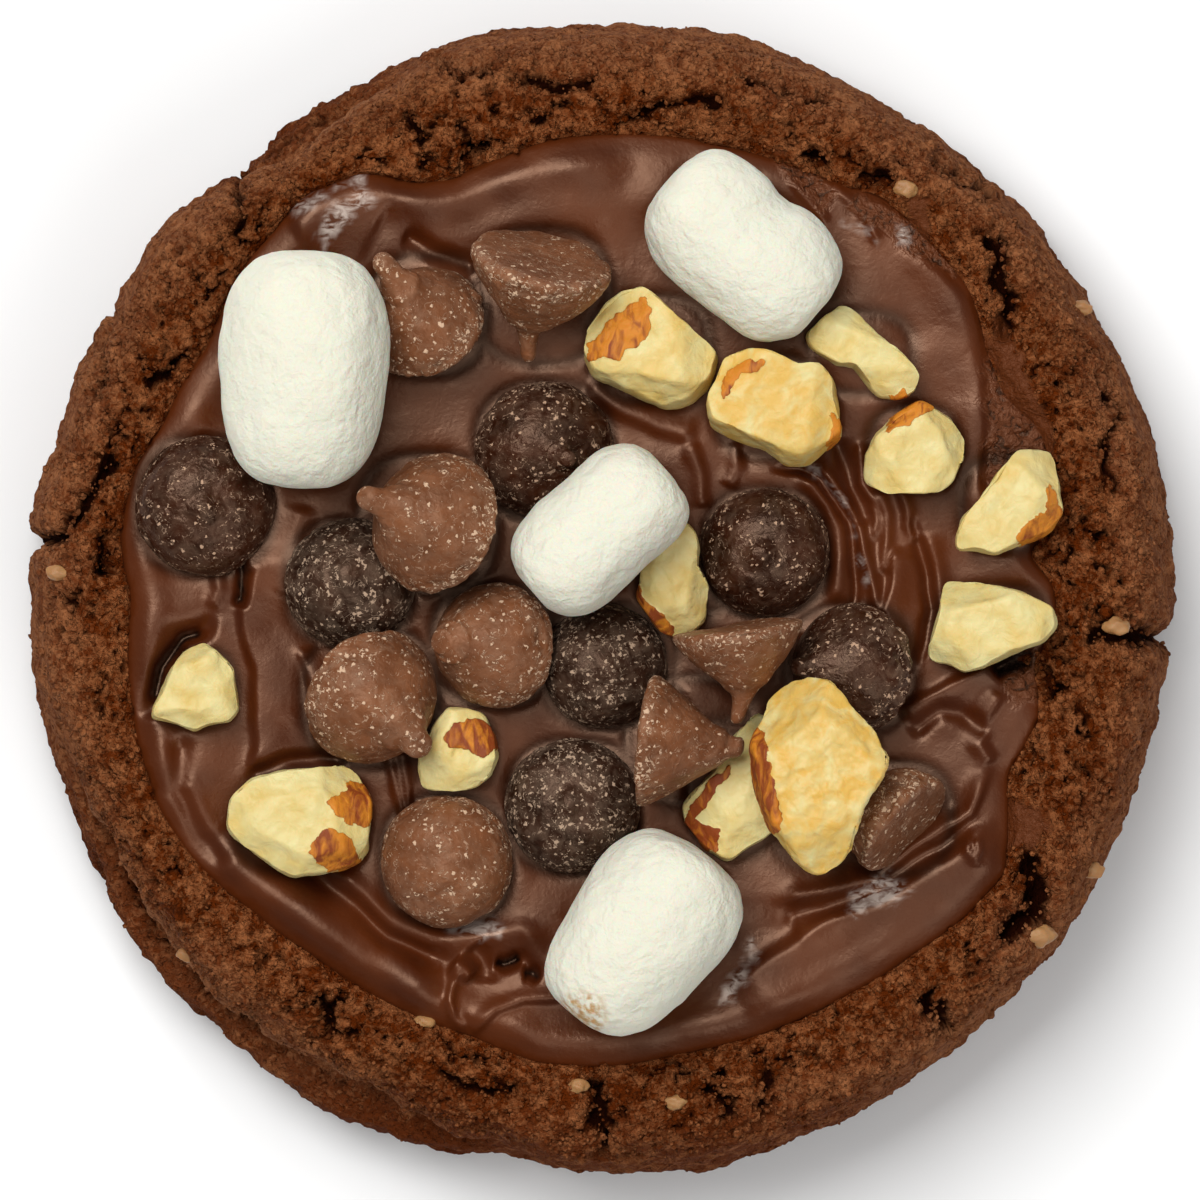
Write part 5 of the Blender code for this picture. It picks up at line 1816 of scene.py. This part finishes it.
    def _chamfers(self, x: Array, y: Array, radius: Array, level: Array) -> Array:
        """Height that random slanting cuts round the rim leave at each place.

        A cut starts at a share of the outline's reach in its direction and falls from there.

        Args:
            x: places across.
            y: places up.
            radius: distance to the outline.
            level: share of the height.

        Returns:
            The height, in millimetres.
        """
        draw = np.random.default_rng(sum(map(ord, self.node)))
        height = np.full(x.shape, 2.0 * self.thickness) * np.ones_like(level)
        for _ in range(self.facets):
            column = draw.integers(self.columns)
            heading = 2.0 * math.pi * column / self.columns
            start = draw.uniform(0.45, 0.85) * radius[column]
            out = x * math.cos(heading) + y * math.sin(heading) - start
            top = self.thickness * draw.uniform(0.92, 1.02)
            height = lower_of(height, top - draw.uniform(0.5, 1.3) * np.maximum(out, 0.0), 0.6)
        return height


ALMONDS = (
    ChoppedAlmond("almond_1", 7, (-0.4, 1.3), (0.01, 0.02),
        ((3.9, 25.5), (8.1, 21.7), (9.7, 20.4), (9.3, 18), (7.9, 16.4), (5.5, 15.9), (2.6, 17.1),
         (-0.3, 18.5), (-1.2, 20), (-1, 21.7), (0.6, 23.9), (1.9, 25)),
        ((250, 1.6, 0.55), (130, 2, 0.6), (20, 2.6, 0.45)),
        (((0, 22.1), (1, 23.5), (2.7, 24.8), (3.8, 25.2), (4.2, 24), (4, 22.1), (3.3, 21.2), (2.3, 20.7),
         (1.7, 20), (0.4, 20.2), (-0.8, 19.8), (-1.1, 21.2)),), 0.45),
    ChoppedAlmond("almond_2", 7, (-0.3, 1.4), (0, 0.03),
        ((12.5, 20.3), (14.2, 20.1), (16.7, 19), (18.3, 19.2), (19.3, 18), (19.9, 13.6), (18.8, 12.4),
         (17.1, 11.2), (15.4, 11.5), (13.7, 12.5), (11.3, 13.4), (9.3, 14.4), (9, 16.3), (9.8, 18),
         (10.3, 19.5)),
        ((262, 2, 0.7), (150, 3.6, 0.5), (10, 3.8, 0.5)),
        (((10, 17.7), (10.5, 19), (12.1, 20), (13.7, 19.9), (13, 19.1), (11.8, 18.8), (10.9, 17.9),
         (10.2, 16.8)), ((19.2, 16), (19.8, 14.7), (19.8, 13.2), (19.1, 12), (18.8, 12.7), (19.1, 14.2),
         (19, 15.5))), 0.9),
    ChoppedAlmond("almond_3", 5.4, (0.4, 0.5), (0, 0),
        ((19.3, 23.4), (20.6, 22.5), (22.1, 21), (24.2, 19.3), (25.7, 17.7), (25.3, 16.4), (24, 15.9),
         (22.3, 16.1), (20.2, 18.4), (18.9, 18.6), (16.5, 20.1), (16.2, 21.2), (17.8, 22.5)),
        ((225, 0.6, 0.5), (45, 1.4, 0.8)),
        (((23.3, 16.2), (24.4, 16.6), (24.8, 16.2), (23.7, 15.8)),), 0.1),
    ChoppedAlmond("almond_4", 5.6, (0.3, -0.3), (0.01, -0.02),
        ((26.4, 16.5), (27.7, 15.9), (29, 15.1), (30.1, 13.4), (30, 11.9), (29, 9.9), (28.1, 9.1),
         (24.6, 9), (23.6, 8.9), (22, 10), (22.1, 12.3), (22.9, 14), (24.6, 15.4)),
        ((120, 1.2, 0.7), (215, 1.8, 0.5), (330, 2, 0.6)),
        (((24.4, 15.7), (25.4, 16.3), (27.1, 16.4), (27.7, 15.9), (26.7, 15.2), (25.4, 14.5),
         (24.4, 14.1), (23.7, 13.8), (24, 15)),), 0.25),
    ChoppedAlmond("almond_5", 5, (-0.5, 0.2), (-0.01, 0.01),
        ((34.6, 12.4), (37.2, 12.3), (37.7, 11.2), (38.4, 7.6), (37.2, 6), (34.8, 4.7), (32.9, 3.8),
         (31.1, 4.3), (29.7, 4.1), (29.6, 5), (30.3, 6.9), (32, 8.9)),
        ((135, 0.8, 0.5), (330, 1.2, 0.8), (215, 3, 0.4)),
        (((36.7, 9.2), (37.2, 9.7), (37.6, 9), (38.3, 7.7), (38, 6.5), (36.2, 5), (34.8, 4.3),
         (34.4, 5.3), (35.3, 6.7), (36.7, 7.7)),), 0.25),
    ChoppedAlmond("almond_6", 5.2, (-0.1, 0.3), (0, 0.01),
        ((28.8, 1.5), (32, 1.3), (35.7, 0.3), (37.6, -0.6), (37.9, -2.2), (37, -3.5), (34.2, -4.3),
         (32, -5.6), (30.5, -6), (29, -5.2), (27.7, -5), (27.3, -4.3), (28.3, -1.1)),
        ((280, 1.4, 0.6), (40, 1.8, 0.4), (170, 2.6, 0.5)),
        (), 0.15),
    ChoppedAlmond("almond_7", 5, (0.2, 0.3), (0, 0),
        ((7, 6.4), (8, 5.2), (8.1, 2.6), (8.9, 0.9), (8.5, -1.7), (7.2, -2.7), (6.3, -3), (4.9, -2.5),
         (3.9, -1), (3.1, 0.4), (3.6, 3.3), (5.2, 5.6)),
        ((200, 0.9, 0.7), (350, 1.4, 0.5)),
        (((2.3, 0.8), (3.3, 1.3), (3.8, 0), (5, -1), (5.8, -1.8), (6.1, -3.1), (5, -3.2), (3.8, -2.1),
         (2.6, -0.5)),), 0.35, 0.6),
    ChoppedAlmond("almond_8", 5.4, (0.1, 0.2), (0, 0),
        ((-32.9, -3.7), (-31.8, -4.5), (-30.5, -5.8), (-30, -9.2), (-30.8, -10.1), (-32.1, -10.3),
         (-33.6, -10.8), (-35.1, -10.3), (-37.2, -9.8), (-36.8, -8.6), (-35.5, -5.8), (-34.4, -4.4)),
        ((150, 0.6, 0.5), (300, 1.2, 0.5), (30, 1.4, 0.6)),
        (), 0.15),
    ChoppedAlmond("almond_9", 6.6, (-0.3, 0.3), (-0.01, 0.02),
        ((-20.9, -13.8), (-20.1, -14.5), (-19.1, -16.6), (-19.2, -20.7), (-20.1, -21.9), (-23.1, -22.6),
         (-25.4, -23), (-27.1, -21.9), (-29.4, -20.5), (-30.8, -18.8), (-30.5, -16.8), (-28.8, -15.1),
         (-26.3, -14.3)),
        ((100, 1.6, 0.5), (240, 2, 0.45), (0, 2.6, 0.7), (180, 3.6, 0.6)),
        (((-22.7, -16.7), (-21.2, -15.8), (-20.7, -14.8), (-19.5, -15.3), (-19, -16.7), (-19.2, -18.8),
         (-20.8, -18.5), (-21.9, -17.7)), ((-23.9, -20), (-22.5, -18.7), (-21.2, -19.2), (-20.4, -20.4),
         (-19.7, -21.8), (-20.8, -22.4), (-22.9, -22.2), (-24.1, -20.9))), 0.12, 0.3),
    ChoppedAlmond("almond_10", 5.4, (-0.2, -0.4), (0.02, 0.02),
        ((-12.6, -8.9), (-10.9, -9), (-9.7, -9.5), (-8.8, -11.2), (-8.6, -12.9), (-9.3, -14.3),
         (-10.3, -15.3), (-12.2, -15.8), (-14.8, -15.4), (-14.9, -12.6), (-13.8, -10.5)),
        ((225, 0.8, 0.6), (40, 1.2, 0.7)),
        (((-12.1, -10.2), (-10.8, -9.9), (-9.8, -10.1), (-8.7, -11.2), (-8.5, -12.2), (-9.6, -13.2),
         (-10.8, -12.7), (-12.5, -12.1), (-13, -11.6)),), 0.15, 0.7),
    ChoppedAlmond("almond_11", 5.4, (0.5, 0.2), (0, 0),
        ((13.1, -9.4), (14.6, -11.7), (15.4, -15.8), (14.3, -19.2), (12.1, -20.7), (10.5, -21.7),
         (8.8, -20.8), (7, -18.5), (6.9, -17.1), (8.3, -15.4), (10, -13.3), (11.3, -11.1)),
        ((200, 1, 0.7), (300, 2.4, 0.6)),
        (((7, -18.4), (7.8, -16.7), (9.3, -14.7), (10.8, -13.8), (10.8, -14.6), (9.7, -15.8),
         (8.8, -17.2), (7.8, -18.2), (9.9, -19.1), (9.7, -20.9), (8.8, -21), (7.4, -19.7)),), 0.15, 0.9),
    ChoppedAlmond("almond_12", 6, (0.7, 0.1), (0, 0.02),
        ((17.5, -6.5), (19, -6.8), (20.5, -8.9), (22.2, -10.6), (23.4, -13), (22.9, -14.7), (21.4, -17),
         (20.3, -20.4), (19.7, -21.8), (18, -22.7), (16.8, -22.1), (15.8, -20.6), (14.2, -18.9),
         (12.9, -14.7), (12.7, -11.6), (13.5, -9.9), (14.2, -8.2), (15.6, -7)),
        ((180, 3.2, 0.9), (330, 3.6, 0.4), (270, 5.2, 0.5)),
        (((12.5, -10.7), (13.5, -10.6), (14, -12.1), (14.2, -14.2), (14.9, -16.7), (15.1, -18.8),
         (14.3, -19.3), (13.4, -17.7), (12.8, -15.2), (12.5, -12.5)),), 1, 0.5, crumble=0.22),
)

MARSHMALLOWS = (
    PuffedMarshmallow("marshmallow_1", 13.6, 19.7, 88, 3, 0.03, -0.03, corner=0.70),
    PuffedMarshmallow("marshmallow_2", 11.8, 16.6, -41, 0, 0.0, 0.02, 0.11, 0.0),
    PuffedMarshmallow("marshmallow_3", 10.4, 15.0, 42, 0, 0.0, 0.05),
    PuffedMarshmallow("marshmallow_4", 12.4, 17.3, 51.6, 0, 0.10, -0.02,
                      smudge=(-1.5, -34.4, 2.6)),
)

CHIPS = (
    MouldedChip("milk_chip_1", Chocolate.MILK, 10.2, 8.6, 125, 40, -0.5, 0.30, 0.21, 1.6),
    MouldedChip("milk_chip_2", Chocolate.MILK, 11.6, 9.6, 257, 112, -0.6, 0.34, 0.12, 0.7, 90),
    MouldedChip("milk_chip_3", Chocolate.MILK, 11.8, 8.4, 160, 36, -0.4, 0.28, 0.19, 1.8),
    MouldedChip("milk_chip_4", Chocolate.MILK, 11.6, 8.4, 315, 40, 0.0, 0.24, 0.21, 0.9),
    MouldedChip("milk_chip_5", Chocolate.MILK, 10.4, 7.4, 176, 34, 0.1, 0.12, 0.21, 0.6),
    MouldedChip("milk_chip_6", Chocolate.MILK, 11.0, 6.0, 250, 12, 0.85, knob=(0.30, 0.3, 0.1)),
    MouldedChip("milk_chip_7", Chocolate.MILK, 10.8, 8.0, 278, 94, -0.9, 0.34, 0.13, 1.2, -90),
    MouldedChip("milk_chip_8", Chocolate.MILK, 10.8, 8.4, 353, 84, -1.0, 0.22, 0.17, 0.5, 60),
    MouldedChip("milk_chip_9", Chocolate.MILK, 9.6, 6.4, 138, 110, 0.3, 0.18, 0.14, 0.2),
    MouldedChip("dark_chip_1", Chocolate.DARK, 11.6, 4.8, 0, 4, 1.0, knob=(0.45, -0.2, -0.3)),
    MouldedChip("dark_chip_2", Chocolate.DARK, 11.6, 6.2, -20, 10, 0.6, 0.14, 0.13, 1.0),
    MouldedChip("dark_chip_3", Chocolate.DUSTY, 10.8, 5.6, 90, 6, 0.8, knob=(0.40, 0.3, 0.2)),
    MouldedChip("dark_chip_4", Chocolate.DARK, 10.8, 5.6, 200, 5, 0.9, knob=(0.60, 0.1, 0.0)),
    MouldedChip("dark_chip_5", Chocolate.DUSTY, 10.4, 5.8, 300, 6, 0.8, knob=(0.30, 0.2, 0.1)),
    MouldedChip("dark_chip_6", Chocolate.DARK, 10.8, 7.2, 178, 36, 0.1, 0.16, 0.15, 0.8),
    MouldedChip("dark_chip_7", Chocolate.DUSTY, 11.2, 5.6, 80, 5, 0.8, knob=(0.45, -0.3, 0.3)),
)

CRUMBS = (
    Crumbs("crumbs_fine", 7000, 0.22, 0.50, 4.0, 41),
    Crumbs("crumbs_medium", 1800, 0.40, 0.85, 4.0, 42),
    Crumbs("crumbs_coarse", 160, 0.70, 1.20, 4.0, 43),
)

FINISHES: dict[object, bpy.types.Material] = {}


@dataclass(frozen=True)
class Studio:
    """A pale floor, soft lights overhead, and a camera far above the middle of the cookie."""

    view_width: float = 0.100
    camera_height: float = 3.0
    edge_height: float = 0.010
    sensor: float = 36.0
    floor_size: float = 6.0
    floor_drop: float = 0.0002
    floor_tone: Colour = (0.93, 0.93, 0.925)
    sky_tone: Colour = (0.98, 0.99, 1.0)
    sky_strength: float = 0.22
    key_place: Triple = (-0.25, 0.36, 0.87)
    key_size: float = 0.55
    key_power: float = 8.2
    sheen_place: Triple = (0.02, 0.0, 1.2)
    sheen_size: float = 0.60
    sheen_power: float = 1.1
    fill_place: Triple = (0.34, -0.46, 0.80)
    fill_size: float = 0.60
    fill_power: float = 2.6

    def build(self) -> None:
        """Set up everything that isn't the cookie."""
        self._floor()
        self._sky()
        self._light("key_light", self.key_place, self.key_size, self.key_power)
        self._light("fill_light", self.fill_place, self.fill_size, self.fill_power)
        self._light("sheen_light", self.sheen_place, self.sheen_size, self.sheen_power)
        self._camera()
        bpy.context.scene.view_settings.view_transform = "Standard"

    def _floor(self) -> None:
        """Lay a large pale square just under the cookie."""
        half = self.floor_size / 2.0
        mesh = bpy.data.meshes.new("floor")
        corners = [(-half, -half, 0.0), (half, -half, 0.0), (half, half, 0.0), (-half, half, 0.0)]
        mesh.from_pydata(corners, [], [(0, 1, 2, 3)])
        graph = Graph("pale_floor")
        tone = graph.blend(graph.span(graph.noise(60.0, 2.0), 0.3, 0.7), self.floor_tone,
                           tuple(0.99 * part for part in self.floor_tone))
        mesh.materials.append(graph.finish(tone, 0.9, Specular_IOR_Level=0.1))
        floor = bpy.data.objects.new("floor", mesh)
        floor.location = (0.0, 0.0, -self.floor_drop)
        bpy.context.scene.collection.objects.link(floor)

    def _sky(self) -> None:
        """Fill the surroundings with a soft even light."""
        world = bpy.data.worlds.new("soft_room")
        world.use_nodes = True
        background = world.node_tree.nodes["Background"]
        background.inputs["Color"].default_value = (*self.sky_tone, 1.0)
        background.inputs["Strength"].default_value = self.sky_strength
        bpy.context.scene.world = world

    def _light(self, name: str, place: Triple, size: float, power: float) -> None:
        """Hang a square soft light that faces the cookie.

        Args:
            name: name of the light.
            place: where it hangs, in metres.
            size: its side, in metres.
            power: its power, in watts.
        """
        data = bpy.data.lights.new(name, "AREA")
        data.shape = "SQUARE"
        data.size = size
        data.energy = power
        lamp = bpy.data.objects.new(name, data)
        lamp.location = place
        direction = -np.array(place)
        across = math.atan2(direction[1], direction[0])
        down = math.acos(-direction[2] / np.linalg.norm(direction))
        lamp.rotation_euler = Euler((0.0, -down, across), "XYZ")
        lamp.visible_camera = False
        bpy.context.scene.collection.objects.link(lamp)

    def _camera(self) -> None:
        """Look straight down from far off, so that the view's width fits the picture's."""
        data = bpy.data.cameras.new("camera")
        data.sensor_width = self.sensor
        data.lens = self.sensor * (self.camera_height - self.edge_height) / self.view_width
        data.clip_start = 0.05
        data.clip_end = 30.0
        camera = bpy.data.objects.new("camera", data)
        camera.location = (0.0, 0.0, self.camera_height)
        bpy.context.scene.collection.objects.link(camera)
        bpy.context.scene.camera = camera


def main() -> None:
    """Build the studio, then the cookie from the dough up."""
    logging.basicConfig(level=logging.INFO, format="%(message)s")
    Studio().build()
    dough = BakedDough()
    crumb = DoughFinish().material()
    dough.build(crumb)
    for crumbs in CRUMBS:
        crumbs.build(dough, crumb)
    for kind in Chocolate:
        FINISHES[kind] = kind.value.material()
    FINISHES["almond"] = AlmondFinish().material()
    FINISHES["marshmallow"] = MarshmallowFinish().material()
    baked_nut = AlmondFinish("baked_nut", (0.40, 0.21, 0.080), (0.27, 0.115, 0.040),
                             (0.36, 0.17, 0.055))
    BakedNuts().build(dough, baked_nut.material())
    toppings = (*CHIPS, *ALMONDS, *MARSHMALLOWS)
    KnifedSpread(tuple(topping.footprint() for topping in toppings)).build()
    for topping in toppings:
        topping.build()


if __name__ == "__main__":
    main()
